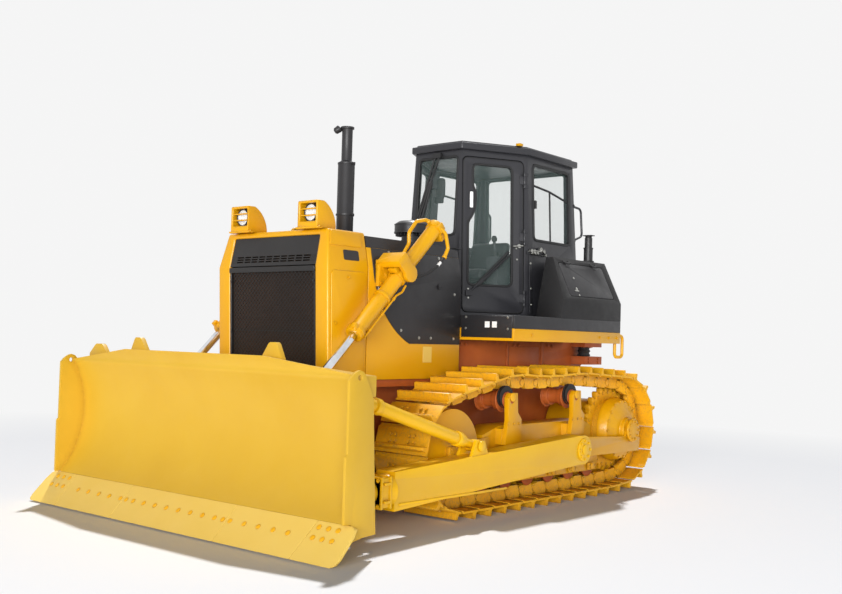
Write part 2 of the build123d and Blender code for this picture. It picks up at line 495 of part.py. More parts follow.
# ---------------------------------------------------------------- platform and cab
def platform():
    """Black floor over the tracks with its front riser plates."""
    floor = block(-FENDER_X, FENDER_X, FENDER_Y0, FENDER_Y1, STRIP_Z1, PLATFORM_Z)
    well = block(-480, 480, FENDER_Y0 + 60, 1400, STRIP_Z1 - 1, PLATFORM_Z - 30)
    risers = both(block(SIDE_X + 20, FENDER_X - 20, FENDER_Y0 - RISER_T, FENDER_Y0, STRIP_Z0 + 25, PLATFORM_Z - 5))
    return floor - well + risers


def fender_strips():
    """Deep yellow edge strips and the beams under the platform."""
    y0, top = FENDER_Y0 + RUN, STRIP_Z1 - RUN
    strips = both(block(FENDER_X - 60, FENDER_X, y0, FENDER_Y1, STRIP_Z0, top))
    cross = block(-FENDER_X + 60, FENDER_X - 60, y0, y0 + 40, STRIP_Z0, top)
    rear = block(-FENDER_X + 60, FENDER_X - 60, FENDER_Y1 - 40, FENDER_Y1, STRIP_Z0, top)
    notch = block(-TUNNEL_HALF - RUN, TUNNEL_HALF + RUN, FENDER_Y0 - 1, 1870, STRIP_Z0 - 1, STRIP_Z0)
    beams = both(block(TUNNEL_HALF - 100, TUNNEL_HALF + 170, y0 + 39, FENDER_Y1 - 39, STRIP_Z0, top))
    return strips + cross + rear + beams - notch


def cab_outline(grow):
    """Six-sided plan of the cab under the roof, moved outwards by grow, as (x, y) points."""
    half = [(0.0, CAB_PLAN[0][1])] + list(CAB_PLAN) + [(0.0, CAB_PLAN[-1][1])]
    moved = []
    for before, here, after in zip(half, half[1:], half[2:]):
        a, b = Vector(here[0] - before[0], here[1] - before[1]).normalized(), \
               Vector(after[0] - here[0], after[1] - here[1]).normalized()
        na, nb = Vector(a.Y, -a.X), Vector(b.Y, -b.X)
        corner = (na + nb).normalized()
        reach = grow / corner.dot(na)
        moved.append((here[0] + corner.X * reach, here[1] + corner.Y * reach))
    return moved + [(-x, y) for x, y in reversed(moved)]


def cab_prism(inset, z0, z1):
    """Leaning six-sided prism of the cab, inset from its outer faces."""
    lean = CAB_LEAN / (CAB_TOP - PLATFORM_Z)
    base = Plane.XY.offset(z0) * make_face(Polyline(*cab_outline(lean * (CAB_TOP - z0) - inset), close=True))
    return extrude(base, amount=z1 - z0, dir=(0, 0, 1), taper=degrees(atan2(lean, 1)))


def panel_frame():
    """Plane of the left door face: x along the face towards the rear, y up the face, z outwards."""
    low, high = cab_outline(CAB_LEAN), cab_outline(0)
    mid = Vector(low[1][0], low[1][1], PLATFORM_Z)
    front = Vector(low[0][0], low[0][1], PLATFORM_Z)
    mid_top = Vector(high[1][0], high[1][1], CAB_TOP)
    along = (mid - front).normalized()
    normal = along.cross((mid_top - mid).normalized())
    return Plane(origin=front, x_dir=along, z_dir=normal), (front - mid).length


def rounded_cut(plane, x0, x1, y0, y1, radius, z0, z1):
    """Rounded rectangle on a plane, drawn out from z0 to z1 along its normal."""
    face = Pos((x0 + x1) / 2, (y0 + y1) / 2, z0) * RectangleRounded(x1 - x0, y1 - y0, radius)
    return plane * extrude(face, amount=z1 - z0, dir=(0, 0, 1))


DOOR_PLANE, DOOR_FACE = panel_frame()
DOOR_X0, DOOR_X1, DOOR_Y0, DOOR_Y1 = 50.0, DOOR_FACE - 62, 45.0, CAB_TOP - PLATFORM_Z - 65
DOOR_GAP, DOOR_T, DOOR_STOP = 8.0, 40.0, 16.0
# window of the door: from front edge, to rear edge, from door foot, to door head
DOOR_WINDOW = (60.0, 125.0, 265.0, 68.0)


def hinge_leaf(plane, centre, along, leaf, radius, thickness, at_x):
    """Knuckle on a hinge axis with its leaf to one side; at_x says whether the axis runs along the plane's y."""
    x, y, z = centre
    turn = Rot(90, 0, 0) if at_x else Rot(0, 90, 0)
    knuckle = Pos(x, y, z) * turn * Cylinder(radius, along)
    if at_x:
        strap = Pos(x + leaf / 2, y, thickness / 2) * Box(abs(leaf), along, thickness)
        rise = Pos(x, y, z / 2) * Box(radius, along, z)
    else:
        strap = Pos(x, y + leaf / 2, thickness / 2) * Box(along, abs(leaf), thickness)
        rise = Pos(x, y, z / 2) * Box(along, radius, z)
    return plane * (knuckle + strap + rise)


def hinge_pin(plane, centre, along, radius, at_x):
    """Pin of a hinge."""
    turn = Rot(90, 0, 0) if at_x else Rot(0, 90, 0)
    return plane * (Pos(*centre) * turn * Cylinder(radius, along))


DOOR_HINGE_X, DOOR_HINGE_Z, DOOR_KNUCKLE_R, PIN_R = DOOR_X1 + 4, 15.0, 11.0, 5.0
DOOR_HINGE_YS = (DOOR_Y0 + 150, (DOOR_Y0 + DOOR_Y1) / 2, DOOR_Y1 - 190)
DOOR_KNUCKLE = 80.0


def door_hinges(on_door):
    """Hinge halves of the left door: the middle knuckles on the door, the outer ones and pins on the cab."""
    halves = []
    for y in DOOR_HINGE_YS:
        if on_door:
            half = hinge_leaf(DOOR_PLANE, (DOOR_HINGE_X, y, DOOR_HINGE_Z), DOOR_KNUCKLE, -50, DOOR_KNUCKLE_R, 8, True)
            halves.append(half - hinge_pin(DOOR_PLANE, (DOOR_HINGE_X, y, DOOR_HINGE_Z), 2 * DOOR_KNUCKLE,
                                           PIN_R + RUN, True))
        else:
            for side in (-1, 1):
                at = y + side * (DOOR_KNUCKLE / 2 + 18 + 2)
                halves.append(hinge_leaf(DOOR_PLANE, (DOOR_HINGE_X, at, DOOR_HINGE_Z), 36, 46, DOOR_KNUCKLE_R, 8, True))
            halves.append(hinge_pin(DOOR_PLANE, (DOOR_HINGE_X, y, DOOR_HINGE_Z), DOOR_KNUCKLE + 50, PIN_R, True))
    return halves


def door_box(grow, z0, z1):
    """Door outline on the door face, grown by a gap."""
    return rounded_cut(DOOR_PLANE, DOOR_X0 - grow, DOOR_X1 + grow, DOOR_Y0 - grow, DOOR_Y1 + grow, 60, z0, z1)


def window_holes(grow):
    """Prisms of the fixed windows: rear side pair, front and rear, grown by a gap."""
    top = WINDOW_TOP + grow
    side = block(300, 900, SIDE_PANE_Y0 - grow, SIDE_PANE_Y1 + grow, SIDE_PANE_Z - grow, top - 10)
    front_half, rear_half = CAB_PLAN[0][0] - 45 + grow, CAB_PLAN[2][0] - 75 + grow
    front = front_slab([(-front_half, FRONT_PANE_Z - grow), (front_half, FRONT_PANE_Z - grow), (front_half - 5, top),
                        (5 - front_half, top)], 200, 600)
    back = front_slab([(-rear_half, REAR_PANE_Z - grow), (rear_half, REAR_PANE_Z - grow), (rear_half - 10, top),
                       (10 - rear_half, top)], CAB_PLAN[2][1] - 120, CAB_PLAN[2][1] + 280)
    return [both(side), front, back]


def cab_shell():
    """Hollow six-sided cab with its door holes and windows, notched over the fuel tank."""
    outer = cab_prism(0, PLATFORM_Z + RUN, CAB_TOP)
    inner = cab_prism(CAB_WALL, PLATFORM_Z + RUN + CAB_WALL, CAB_TOP - 40)
    notch = block(-900, 900, CAB_NOTCH_Y, 2400, PLATFORM_Z - 10, CAB_NOTCH_Z)
    notch_in = block(-900, 900, CAB_NOTCH_Y - CAB_WALL, 2400, PLATFORM_Z - 10, CAB_NOTCH_Z + CAB_WALL)
    shell = (outer - notch) - (inner - notch_in)
    # the door stands in the outer recess and closes against the inner flange
    for hole in (door_box(DOOR_GAP, -DOOR_T - RUN, 40), door_box(-DOOR_STOP, -CAB_WALL - 60, 40)):
        shell = shell - hole - mirror(hole, about=Plane.YZ)
    # windows: rear side pair, front and rear
    for hole in window_holes(0):
        shell -= hole
    for half in door_hinges(False):
        shell = shell + half + mirror(half, about=Plane.YZ)
    return shell


def cab_glass():
    """Fixed panes in the middle of the cab walls."""
    pane = cab_prism(22, PLATFORM_Z + 100, CAB_TOP - 60) - cab_prism(30, PLATFORM_Z + 90, CAB_TOP - 50)
    side, front, back = window_holes(-RUN)
    return (pane & side) + (pane & front) + (pane & back)


def cab_roof():
    """Roof plate with its fascia and a raised middle."""
    plate = flat_slab(cab_outline(ROOF_OVERHANG), CAB_TOP + RUN, ROOF_TOP - 22)
    crown = flat_slab(cab_outline(ROOF_OVERHANG - 45), ROOF_TOP - 23, ROOF_TOP)
    return plate + crown


def door():
    """Left cab door with its window hole."""
    panel = door_box(0, -DOOR_T, 0)
    front, rear, foot, head = DOOR_WINDOW
    hole = rounded_cut(DOOR_PLANE, DOOR_X0 + front, DOOR_X1 - rear, DOOR_Y0 + foot, DOOR_Y1 - head, 70, -80, 40)
    leaf = panel - hole
    for half in door_hinges(True):
        leaf += half
    return leaf


def door_pane():
    """Glass of the left door."""
    front, rear, foot, head = DOOR_WINDOW
    return rounded_cut(DOOR_PLANE, DOOR_X0 + front + RUN, DOOR_X1 - rear - RUN, DOOR_Y0 + foot + RUN,
                       DOOR_Y1 - head - RUN, 70 - RUN, -24, -16)


def operator_seat():
    """Seat on its pedestal."""
    floor = PLATFORM_Z + CAB_WALL + 2 * RUN
    pedestal = block(-190, 190, 960, 1360, floor, floor + 300)
    cushion = block(-250, 250, 880, 1390, floor + 300, floor + 430)
    back = side_slab([(1260, floor + 430), (1390, floor + 430), (1425, floor + 745), (1335, floor + 745)],
                     -240, 240)
    return pedestal + cushion + back


def console():
    """Dash in front and the lever boxes beside the seat."""
    floor = PLATFORM_Z + CAB_WALL + 2 * RUN
    front = CAB_PLAN[0][1] + 30
    dash = block(-210, 210, front, front + 120, floor, floor + 560) + side_slab(
        [(front, floor + 559), (front + 120, floor + 559), (front + 60, floor + 700), (front, floor + 700)], -210, 210)
    arms = both(block(300, 440, 900, 1380, floor, floor + 560))
    sticks = both(bar((370, 960, floor + 550), (370, 930, floor + 720), 14))
    return dash, arms + sticks


def side_box():
    """Fender box with a sloping outer face and its lid opening."""
    x_in, deep_in = 1000.0, 740.0
    section = [(x_in, PLATFORM_Z + RUN), (FENDER_X, PLATFORM_Z + RUN), (FENDER_X, 1895), (1080, 2310), (x_in, 2310)]
    body = front_slab(section, 770, FENDER_Y1) + block(deep_in, x_in + 1, CAB_NOTCH_Y - 20, FENDER_Y1,
                                                       PLATFORM_Z + RUN, 2310)
    slope = side_slab([(700, PLATFORM_Z), (770, PLATFORM_Z), (800, 1860), (920, 2310), (920, 2400), (700, 2400)],
                      700, 1300)
    return body - slope


LID_PLANE = Plane(origin=(FENDER_X, 1340, 1895), x_dir=(0, 1, 0), z_dir=(415, 0, 200))
LID_LONG, LID_HIGH, LID_T = 800.0, 400.0, 20.0


LID_HINGE_Y, LID_HINGE_Z, LID_KNUCKLE_R, LID_KNUCKLE = 403.0, 11.0, 8.0, 60.0


def lid_hinges(on_lid):
    """Hinge halves of the left lid, at its upper edge."""
    halves = []
    for x in (-220.0, 280.0):
        if on_lid:
            half = hinge_leaf(LID_PLANE, (x, LID_HINGE_Y, LID_HINGE_Z), LID_KNUCKLE, -40, LID_KNUCKLE_R, 6, False)
            halves.append(half - hinge_pin(LID_PLANE, (x, LID_HINGE_Y, LID_HINGE_Z), 2 * LID_KNUCKLE, PIN_R - 1 + RUN,
                                           False))
        else:
            for side in (-1, 1):
                at = x + side * (LID_KNUCKLE / 2 + 14 + 2)
                halves.append(hinge_leaf(LID_PLANE, (at, LID_HINGE_Y, LID_HINGE_Z), 28, 30, LID_KNUCKLE_R, 6, False))
            halves.append(hinge_pin(LID_PLANE, (x, LID_HINGE_Y, LID_HINGE_Z), LID_KNUCKLE + 40, PIN_R - 1, False))
    return halves


def lid_slab(grow, z0, z1):
    """Lid outline on the sloping face of the left box."""
    face = Pos(30, 40 + LID_HIGH / 2 - 15, z0) * RectangleRounded(LID_LONG + 2 * grow, LID_HIGH - 50 + 2 * grow, 25)
    return LID_PLANE * extrude(face, amount=z1 - z0, dir=(0, 0, 1))


def fuel_tank():
    """Rear tank under the cab's overhang."""
    tank = side_slab([(CAB_NOTCH_Y + 8, PLATFORM_Z + RUN), (FENDER_Y1, PLATFORM_Z + RUN), (2210, PLATFORM_Z + 60),
                      (2210, 2120), (2060, CAB_NOTCH_Z - 8), (CAB_NOTCH_Y + 8, CAB_NOTCH_Z - 8)], -720, 720)
    return tank


def breather():
    """Small stack on the left box."""
    return bar_z(24, 950, 1770, 2305, 2560) + bar_z(34, 950, 1770, 2470, 2600) + bar_z(60, 950, 1770, 2305, 2335)


def grab_bar():
    """Left rear grab bar: from the strip's end face round to its underside."""
    x, top, low, back = 1240.0, STRIP_Z1 - 30, 1360.0, FENDER_Y1 + 110
    points = [(x, FENDER_Y1 + RUN, top), (x, back, top), (x, back, low), (x, FENDER_Y1 - 40, low),
              (x, FENDER_Y1 - 40, STRIP_Z0 - RUN)]
    return ring_bar(points, 16, 40)


def yoke_base(grow):
    """Foot of the yoke on the side plate, grown by a gap."""
    y, z = LIFT_TRUNNION
    return block(SIDE_X + RUN, SIDE_X + 40, y - 150 - grow, y + 110 + grow, z - 110 - grow, z + 110 + grow)


def lift_yoke():
    """Bracket on the guard that holds the lift cylinder's trunnions."""
    y, z = LIFT_TRUNNION
    base = yoke_base(0)
    neck = bar_x(80, SIDE_X + 39, LIFT_X - 103, y, z)
    arm_in = bar_x(72, LIFT_X - 125, LIFT_X - 92, y, z)
    arm_out = bar_x(72, LIFT_X + 92, LIFT_X + 125, y, z)
    ux, uz = -0.692, 0.722
    bridge_mid = (y + ux * 150, z + uz * 150)
    size = 60
    def corner(along, across):
        return (bridge_mid[0] + ux * along + uz * across, bridge_mid[1] + uz * along - ux * across)
    bridge = side_slab([corner(-30, -size), corner(30, -size), corner(30, size), corner(-30, size)],
                       LIFT_X - 125, LIFT_X + 125)
    webs = []
    for x0 in (LIFT_X - 125, LIFT_X + 92):
        webs.append(side_slab([corner(0, -size), corner(0, size), (y + uz * 55, z - ux * 55),
                               (y - uz * 55, z + ux * 55)], x0, x0 + 33))
    pins = bar_x(TRUNNION_R, LIFT_X - 125, LIFT_X - 60 - RUN, y, z) + bar_x(TRUNNION_R, LIFT_X + 60 + RUN, LIFT_X + 125, y, z)
    return base + neck + arm_in + arm_out + bridge + webs[0] + webs[1] + pins


# ---------------------------------------------------------------- blade and its linkage
def lift_axis():
    """Unit vector from the trunnion down the lift cylinder, in (y, z)."""
    dy, dz = LIFT_EYE[0] - LIFT_TRUNNION[0], LIFT_EYE[1] - LIFT_TRUNNION[1]
    length = (dy * dy + dz * dz) ** 0.5
    return dy / length, dz / length, length


def on_lift(distance):
    """Point on the left lift cylinder's axis, measured from its trunnion towards the rod's eye."""
    dy, dz, _ = lift_axis()
    return LIFT_X, LIFT_TRUNNION[0] + dy * distance, LIFT_TRUNNION[1] + dz * distance


def lift_barrel():
    """Lift cylinder barrel with its trunnion collar, head and rod gland, bored for the rod."""
    body = bar(on_lift(-BARREL_UP), on_lift(BARREL_DOWN - 60), BARREL_R)
    body += bar(on_lift(BARREL_DOWN - 70), on_lift(BARREL_DOWN), BARREL_R + 8)
    body += bar(on_lift(-BARREL_UP), on_lift(-BARREL_UP + 60), BARREL_R + 12)
    body += bar(on_lift(-60), on_lift(60), BARREL_R + 10)
    body -= bar(on_lift(-BARREL_UP + 40), on_lift(BARREL_DOWN + 1), LIFT_ROD_R + RUN)
    for x0 in (LIFT_X - 100, LIFT_X + 60):
        body -= bar_x(TRUNNION_R + RUN, x0, x0 + 40, *LIFT_TRUNNION)
    return body


def lift_rod():
    """Chromed rod with its eye."""
    _, _, length = lift_axis()
    rod = bar(on_lift(420), on_lift(length - 30), LIFT_ROD_R)
    eye = bar_x(60, LIFT_X - 42, LIFT_X + 42, *LIFT_EYE)
    return rod + eye - bar_x(30, LIFT_X - 50, LIFT_X + 50, *LIFT_EYE)


def moldboard_arc(inset):
    """Hollow front curve of the blade in (y, z), from the cutting edge's top to the blade's top."""
    slope = atan2(EDGE_TOP_Z - EDGE_Z, EDGE_TOP_Y - EDGE_Y)
    turn = pi / 2 - slope
    chord = BLADE_TOP_Z - EDGE_TOP_Z
    depth = chord / 2 * tan(turn / 2)
    return [(EDGE_TOP_Y + inset, EDGE_TOP_Z), (EDGE_TOP_Y + depth + inset, (EDGE_TOP_Z + BLADE_TOP_Z) / 2),
            (BLADE_TOP_Y + inset, BLADE_TOP_Z)]


def moldboard():
    """Curved blade plate with end plates, back beams, ribs, arm and lift lugs."""
    front, back = moldboard_arc(0), moldboard_arc(PLATE)
    outline = [ThreePointArc(*front), Line(front[-1], back[-1]), ThreePointArc(*reversed(back)),
               Line(back[0], front[0])]
    inner = BLADE_HALF - PLATE + 1
    face = Plane.YZ.offset(-inner) * make_face(outline)
    skin = extrude(face, amount=2 * inner, dir=(1, 0, 0))
    # the lip runs down behind the cutting edge, EDGE_T + RUN from its front face
    slope = atan2(EDGE_TOP_Z - EDGE_Z, EDGE_TOP_Y - EDGE_Y)
    back_y, back_z = EDGE_TOP_Y + sin(slope) * (EDGE_T + RUN), EDGE_TOP_Z - cos(slope) * (EDGE_T + RUN)
    lip = (back_y - cos(slope) * EDGE_LIP, back_z - sin(slope) * EDGE_LIP)
    seat = (EDGE_TOP_Y + PLATE, EDGE_TOP_Z + RUN)
    low_beam = side_slab([seat, (EDGE_TOP_Y + 110, EDGE_TOP_Z + 130), (-2330, 560), (-2180, 560),
                          (-2130, 500), (-2130, 260), (-2220, 170), (lip[0] + 30, lip[1] - 4), lip,
                          (back_y, back_z)], -inner, inner)
    low_beam -= both(block(BRACE_X + 130, BLADE_HALF, -2270, -2000, 0, 700))
    top_beam = side_slab([(-2390, 1090), (-2250, 1090), (-2250, 1235), (-2470, 1300)], -inner, inner)
    ahead = EDGE_TOP_Y - 500
    hollow = make_face([ThreePointArc(*front), Line(front[-1], (ahead, BLADE_TOP_Z)),
                        Line((ahead, BLADE_TOP_Z), (ahead, EDGE_TOP_Z)), Line((ahead, EDGE_TOP_Z), front[0])])
    air = extrude(Plane.YZ.offset(-BLADE_WIDTH) * hollow, amount=2 * BLADE_WIDTH, dir=(1, 0, 0))
    board = skin + low_beam + top_beam
    for x in (350.0, 1120.0):
        board += both(side_slab([(-2385, 300), (-2170, 500), (-2230, 1150), (-2400, 1150)], x, x + PLATE))
    # arched top: the ends fall away from the middle
    fall = [(ARCH_X, BLADE_TOP_Z), (BLADE_HALF, BLADE_CORNER_Z + 6), (BLADE_HALF, BLADE_TOP_Z + 50),
            (ARCH_X, BLADE_TOP_Z + 50)]
    board -= both(front_slab(fall, -2700, -2200))
    # end plates, stepped forward in their lower half, each rising into a lifting ear
    ends = side_slab([seat, (-2548, seat[1] + 4), (-2548, 700), (-2532, 716), (-2532, BLADE_CORNER_Z - 20),
                      (-2505, BLADE_CORNER_Z + 12), (-2465, BLADE_CORNER_Z + 40), (-2435, BLADE_CORNER_Z + 50),
                      (-2400, BLADE_CORNER_Z + 40), (-2375, BLADE_CORNER_Z + 15), (-2355, BLADE_CORNER_Z - 25),
                      (-2328, 1150), (-2295, 1080), (-2240, 160), (-2440, 150)], BLADE_HALF - PLATE, BLADE_HALF)
    ends -= bar_x(19, BLADE_HALF - PLATE - 1, BLADE_HALF + 1, -2434, BLADE_CORNER_Z)
    ears = None
    for x0 in (LIFT_X - 78, LIFT_X + 56):
        lug = side_slab([(-2345, 760), (-2130, 820), (-2095, 870), (-2095, 930), (-2130, 985), (-2345, 1090)],
                        x0, x0 + PLATE)
        boss = bar_x(34, min(x0, x0 + PLATE) - (18 if x0 < LIFT_X else 0),
                     max(x0, x0 + PLATE) + (0 if x0 < LIFT_X else 18), *LIFT_EYE)
        ears = lug + boss if ears is None else ears + lug + boss
    arm_lug = block(BRACE_X - 105, BRACE_X + 105, -2140, -2080, 255, 500)
    arm_lug += bar((BRACE_X, -2081, ARM_Z), (BRACE_X, NECK_Y, ARM_Z), 112)
    lug = [(-2260, 1020), (-2200, 1030), (-2150, 1060), (-2150, 1120), (-2200, 1150), (-2260, 1160)]
    brace_lug = side_slab(lug, BRACE_X - LUG_GAP - LUG_T, BRACE_X - LUG_GAP)
    brace_lug += side_slab(lug, BRACE_X + LUG_GAP, BRACE_X + LUG_GAP + LUG_T)
    horn = front_slab([(LIFT_X - 120, 1240), (LIFT_X + 125, 1240), (LIFT_X + 125, 1300), (LIFT_X + 62, 1425),
                       (LIFT_X + 45, 1440), (LIFT_X - 15, 1440), (LIFT_X - 35, 1428), (LIFT_X - 120, 1310)], *HORN_Y)
    tip = mirror(front_slab([(1290, 1240), (1540, 1240), (1540, 1290), (1462, 1362), (1440, 1374), (1365, 1374),
                             (1340, 1360), (1290, 1300)], *HORN_Y), about=Plane.YZ)
    return (board - air) + both(ends) + both(ears + arm_lug + brace_lug + horn - air) + tip


def cutting_edge():
    """Bolted cutting edge in three lengths and the two flared end bits."""
    slope = atan2(EDGE_TOP_Z - EDGE_Z, EDGE_TOP_Y - EDGE_Y)
    nz, ny = cos(slope) * EDGE_T, -sin(slope) * EDGE_T
    section = [(EDGE_Y, EDGE_Z), (EDGE_TOP_Y, EDGE_TOP_Z), (EDGE_TOP_Y - ny, EDGE_TOP_Z - nz),
               (EDGE_Y - ny * 1.6, EDGE_Z)]
    low, high, gap = EDGE_Z - 1, EDGE_TOP_Z + 1, 1.5
    inner, half = BLADE_WIDTH / 2 - 422, BLADE_WIDTH / 2
    bars = []
    # columns: start and end of a length, lean of its two ends from foot to top
    for x0, x1, lean0, lean1 in ((-inner, -EDGE_JOINT, -45, 0), (-EDGE_JOINT, EDGE_JOINT, 0, 0), (EDGE_JOINT, inner, 0, 45)):
        outline = [(x0 + gap, low), (x1 - gap, low), (x1 - gap + lean1, high), (x0 + gap + lean0, high)]
        bars.append(side_slab(section, x0 - 50, x1 + 50) & front_slab(outline, EDGE_Y - 100, EDGE_TOP_Y + 110))
    outline = [(inner + gap, low), (half - 45, low), (half - 12, low + 13), (half, low + 46), (half - 6, high - 70),
               (half - 24, high - 20), (half - 60, high), (inner + gap + 45, high)]
    end = side_slab(section, inner, half) & front_slab(outline, EDGE_Y - 100, EDGE_TOP_Y + 110)
    return bars + [end, mirror(end, about=Plane.YZ)]


def push_arm():
    """Left push arm: tapered box, trunnion cap behind, neck and brace bracket in front."""
    front, rear = -1750.0, ARM_PIVOT_Y - 110
    body = side_slab([(front, 226), (rear, ARM_PIVOT_Z - 132), (rear, ARM_PIVOT_Z + 130), (front, 515)],
                     ARM_X0, ARM_X1)
    cap = bar_x(ARM_PIVOT_R + 62, ARM_X0, ARM_X1, ARM_PIVOT_Y, ARM_PIVOT_Z)
    tail = block(ARM_X0, ARM_X1, rear - 1, ARM_PIVOT_Y, ARM_PIVOT_Z - 130, ARM_PIVOT_Z + 130)
    bore = bar_x(ARM_PIVOT_R, ARM_X0 - 1, ARM_X1 - 8, ARM_PIVOT_Y, ARM_PIVOT_Z)
    neck = bar((BRACE_X, front + 1, ARM_Z), (BRACE_X, NECK_Y + RUN, ARM_Z), 82)
    neck += bar((BRACE_X, front + 1, ARM_Z), (BRACE_X, front - 60, ARM_Z), 125, 105)
    ears = None
    for x0 in (BRACE_X - LUG_GAP - LUG_T, BRACE_X + LUG_GAP):
        ear = side_slab([(BRACE_FOOT[0] - 150, 500), (BRACE_FOOT[0] + 120, 520), (BRACE_FOOT[0] + 55, 680),
                         (BRACE_FOOT[0] - 55, 690)], x0, x0 + LUG_T)
        ears = ear if ears is None else ears + ear
    return body + cap + tail - bore + neck + ears


def brace(body_r, rod_r, rod_share):
    """Brace between the arm and the blade's upper corner: strut or tilt cylinder."""
    foot = (BRACE_X, *BRACE_FOOT)
    head = (BRACE_X, *BRACE_HEAD)
    run = Vector(*head) - Vector(*foot)
    def at(distance):
        point = Vector(*foot) + run.normalized() * distance
        return point.X, point.Y, point.Z
    cut = run.length * rod_share
    body = bar(at(150), at(cut), body_r) + bar(at(cut - 1), at(run.length - 40), rod_r) + bar(at(40), at(151), 36)
    for centre in (BRACE_FOOT, BRACE_HEAD):
        body += bar_x(50, BRACE_X - LUG_GAP + RUN, BRACE_X + LUG_GAP - RUN, *centre)
    return body


# ---------------------------------------------------------------- write every node
os.makedirs("parts", exist_ok=True)
dash, armrests = console()
left = {
    "track": track(), "track_frame": track_frame(),
    "push_arm": push_arm(), "lift_barrel": lift_barrel(), "lift_rod": lift_rod(),
    "door": door(), "door_pane": door_pane(),
    "box_lid": sum(lid_hinges(True), lid_slab(0, -LID_T, 0)),
}
for name, shape in left.items():
    save(shape, f"{name}_left")
    save(mirror(shape, about=Plane.YZ), f"{name}_right")

box_left = sum(lid_hinges(False), side_box() - lid_slab(6, -LID_T - RUN, 30))
box_right = mirror(box_left, about=Plane.YZ)
idler_left, sprocket_left, yoke_left = idler_with_bore(), sprocket(), lift_yoke()
brace_left, tilt_cylinder = brace(52, 44, 0.8), mirror(brace(70, 38, 0.62), about=Plane.YZ)
single = {
    "main_frame": main_frame(), "drawbar": drawbar(), "bay_panels": bay_panels(),
    "engine_block": engine_block(), "radiator_guard": radiator_guard(),
    "radiator_grille": radiator_grille(), "hood_top": hood_top(), "hood_sides": hood_sides(),
    "exhaust_stack": exhaust_stack(), "precleaner": precleaner(), "head_lamps": head_lamps(),
    "lamp_lenses": lamp_lenses(), "lift_yokes": both(yoke_left), "platform": platform(),
    "fender_strips": fender_strips(),
    "cab_shell": cab_shell(), "cab_roof": cab_roof(), "cab_glass": cab_glass(), "operator_seat": operator_seat(),
    "fuel_tank": fuel_tank(), "moldboard": moldboard(), "brace_strut": brace_left, "tilt_cylinder": tilt_cylinder,
    "idlers": both(idler_left), "sprockets": both(sprocket_left),
    "side_box_left": box_left + breather(), "side_box_right": box_right,
}
for name, shape in single.items():
    save(shape, name)


def save_group(shapes, name):
    """Write solids that don't touch as one node."""
    group = Compound(children=[solid for shape in shapes for solid in shape.solids()])
    group.label = name
    export_step(group, f"parts/{name}.step")


save_group([dash, armrests], "console")
save_group(cutting_edge(), "cutting_edge")
save_group([both(piece) for piece in final_drive()], "final_drives")
save_group([both(wheel) for wheel in track_rollers()], "track_rollers")
save_group([both(wheel) for wheel in carrier_rollers()], "carrier_rollers")
save_group([both(grab_bar())], "grab_bars")
print("wheel base", WHEEL_BASE, "pitch", round(pin_line().length / SHOES, 2))
print("lift length", lift_axis()[2], "door face", DOOR_FACE, DOOR_PLANE)
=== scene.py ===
"""Dressed model of a crawler bulldozer with a straight blade.

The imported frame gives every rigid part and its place. The classes below cut the real forms and
finishes on it: each sub-assembly is one class with its sizes as fields. Metres, -Y is the way the
machine faces, +X its left-hand side, +Z up.
"""
from __future__ import annotations

import json
import logging
from dataclasses import dataclass, field
from enum import Enum
from functools import cache, cached_property
from math import acos, atan2, cos, hypot, pi, radians, sin
from typing import Iterable, Sequence

import bmesh
import bpy
from mathutils import Matrix, Vector

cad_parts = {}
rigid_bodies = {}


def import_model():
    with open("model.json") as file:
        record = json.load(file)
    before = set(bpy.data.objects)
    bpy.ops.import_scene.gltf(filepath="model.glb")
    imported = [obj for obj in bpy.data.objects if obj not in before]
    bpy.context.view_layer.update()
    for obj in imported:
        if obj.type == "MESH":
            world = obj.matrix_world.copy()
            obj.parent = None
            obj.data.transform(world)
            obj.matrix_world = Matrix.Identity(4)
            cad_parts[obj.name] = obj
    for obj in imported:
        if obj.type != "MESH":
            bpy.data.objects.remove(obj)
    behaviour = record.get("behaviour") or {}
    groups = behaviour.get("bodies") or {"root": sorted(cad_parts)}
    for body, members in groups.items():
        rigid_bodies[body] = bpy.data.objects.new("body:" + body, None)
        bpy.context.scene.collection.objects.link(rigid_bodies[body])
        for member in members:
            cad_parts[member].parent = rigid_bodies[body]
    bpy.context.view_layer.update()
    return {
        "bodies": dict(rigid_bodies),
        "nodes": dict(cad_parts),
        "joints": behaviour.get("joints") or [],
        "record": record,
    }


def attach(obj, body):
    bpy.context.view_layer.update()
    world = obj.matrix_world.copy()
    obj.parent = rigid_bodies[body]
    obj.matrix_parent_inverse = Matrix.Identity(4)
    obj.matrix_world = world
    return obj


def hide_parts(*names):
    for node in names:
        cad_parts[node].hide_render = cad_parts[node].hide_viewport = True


LOG = logging.getLogger("bulldozer")
Thing, Material = bpy.types.Object, bpy.types.Material
NodeTree, Socket = bpy.types.NodeTree, bpy.types.NodeSocket
Point = tuple[float, float, float]
Flat = tuple[float, float]
Tone = tuple[float, float, float, float]
Span = tuple[float, float, float, float]
Spot = tuple[Point, Point, Point]
Rod = tuple[Point, Point, float, int]
WELD = 2e-5
FLAT_DEG = 0.6


class Body(str, Enum):
    """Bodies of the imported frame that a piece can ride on."""

    ROOT = "root"
    BLADE = "blade"
    DOOR = "door"
    LID = "box_lid"
    BARREL = "lift_barrel"
    ROD = "lift_rod"

    def of(self, side: str) -> str:
        """Name of the body on one side of the machine."""
        return f"{self.value}_{side}"


class Side(Enum):
    """Left or right half of the machine, with the sign of X there."""

    LEFT = 1
    RIGHT = -1

    @property
    def word(self) -> str:
        """Word used in node and body names."""
        return self.name.lower()


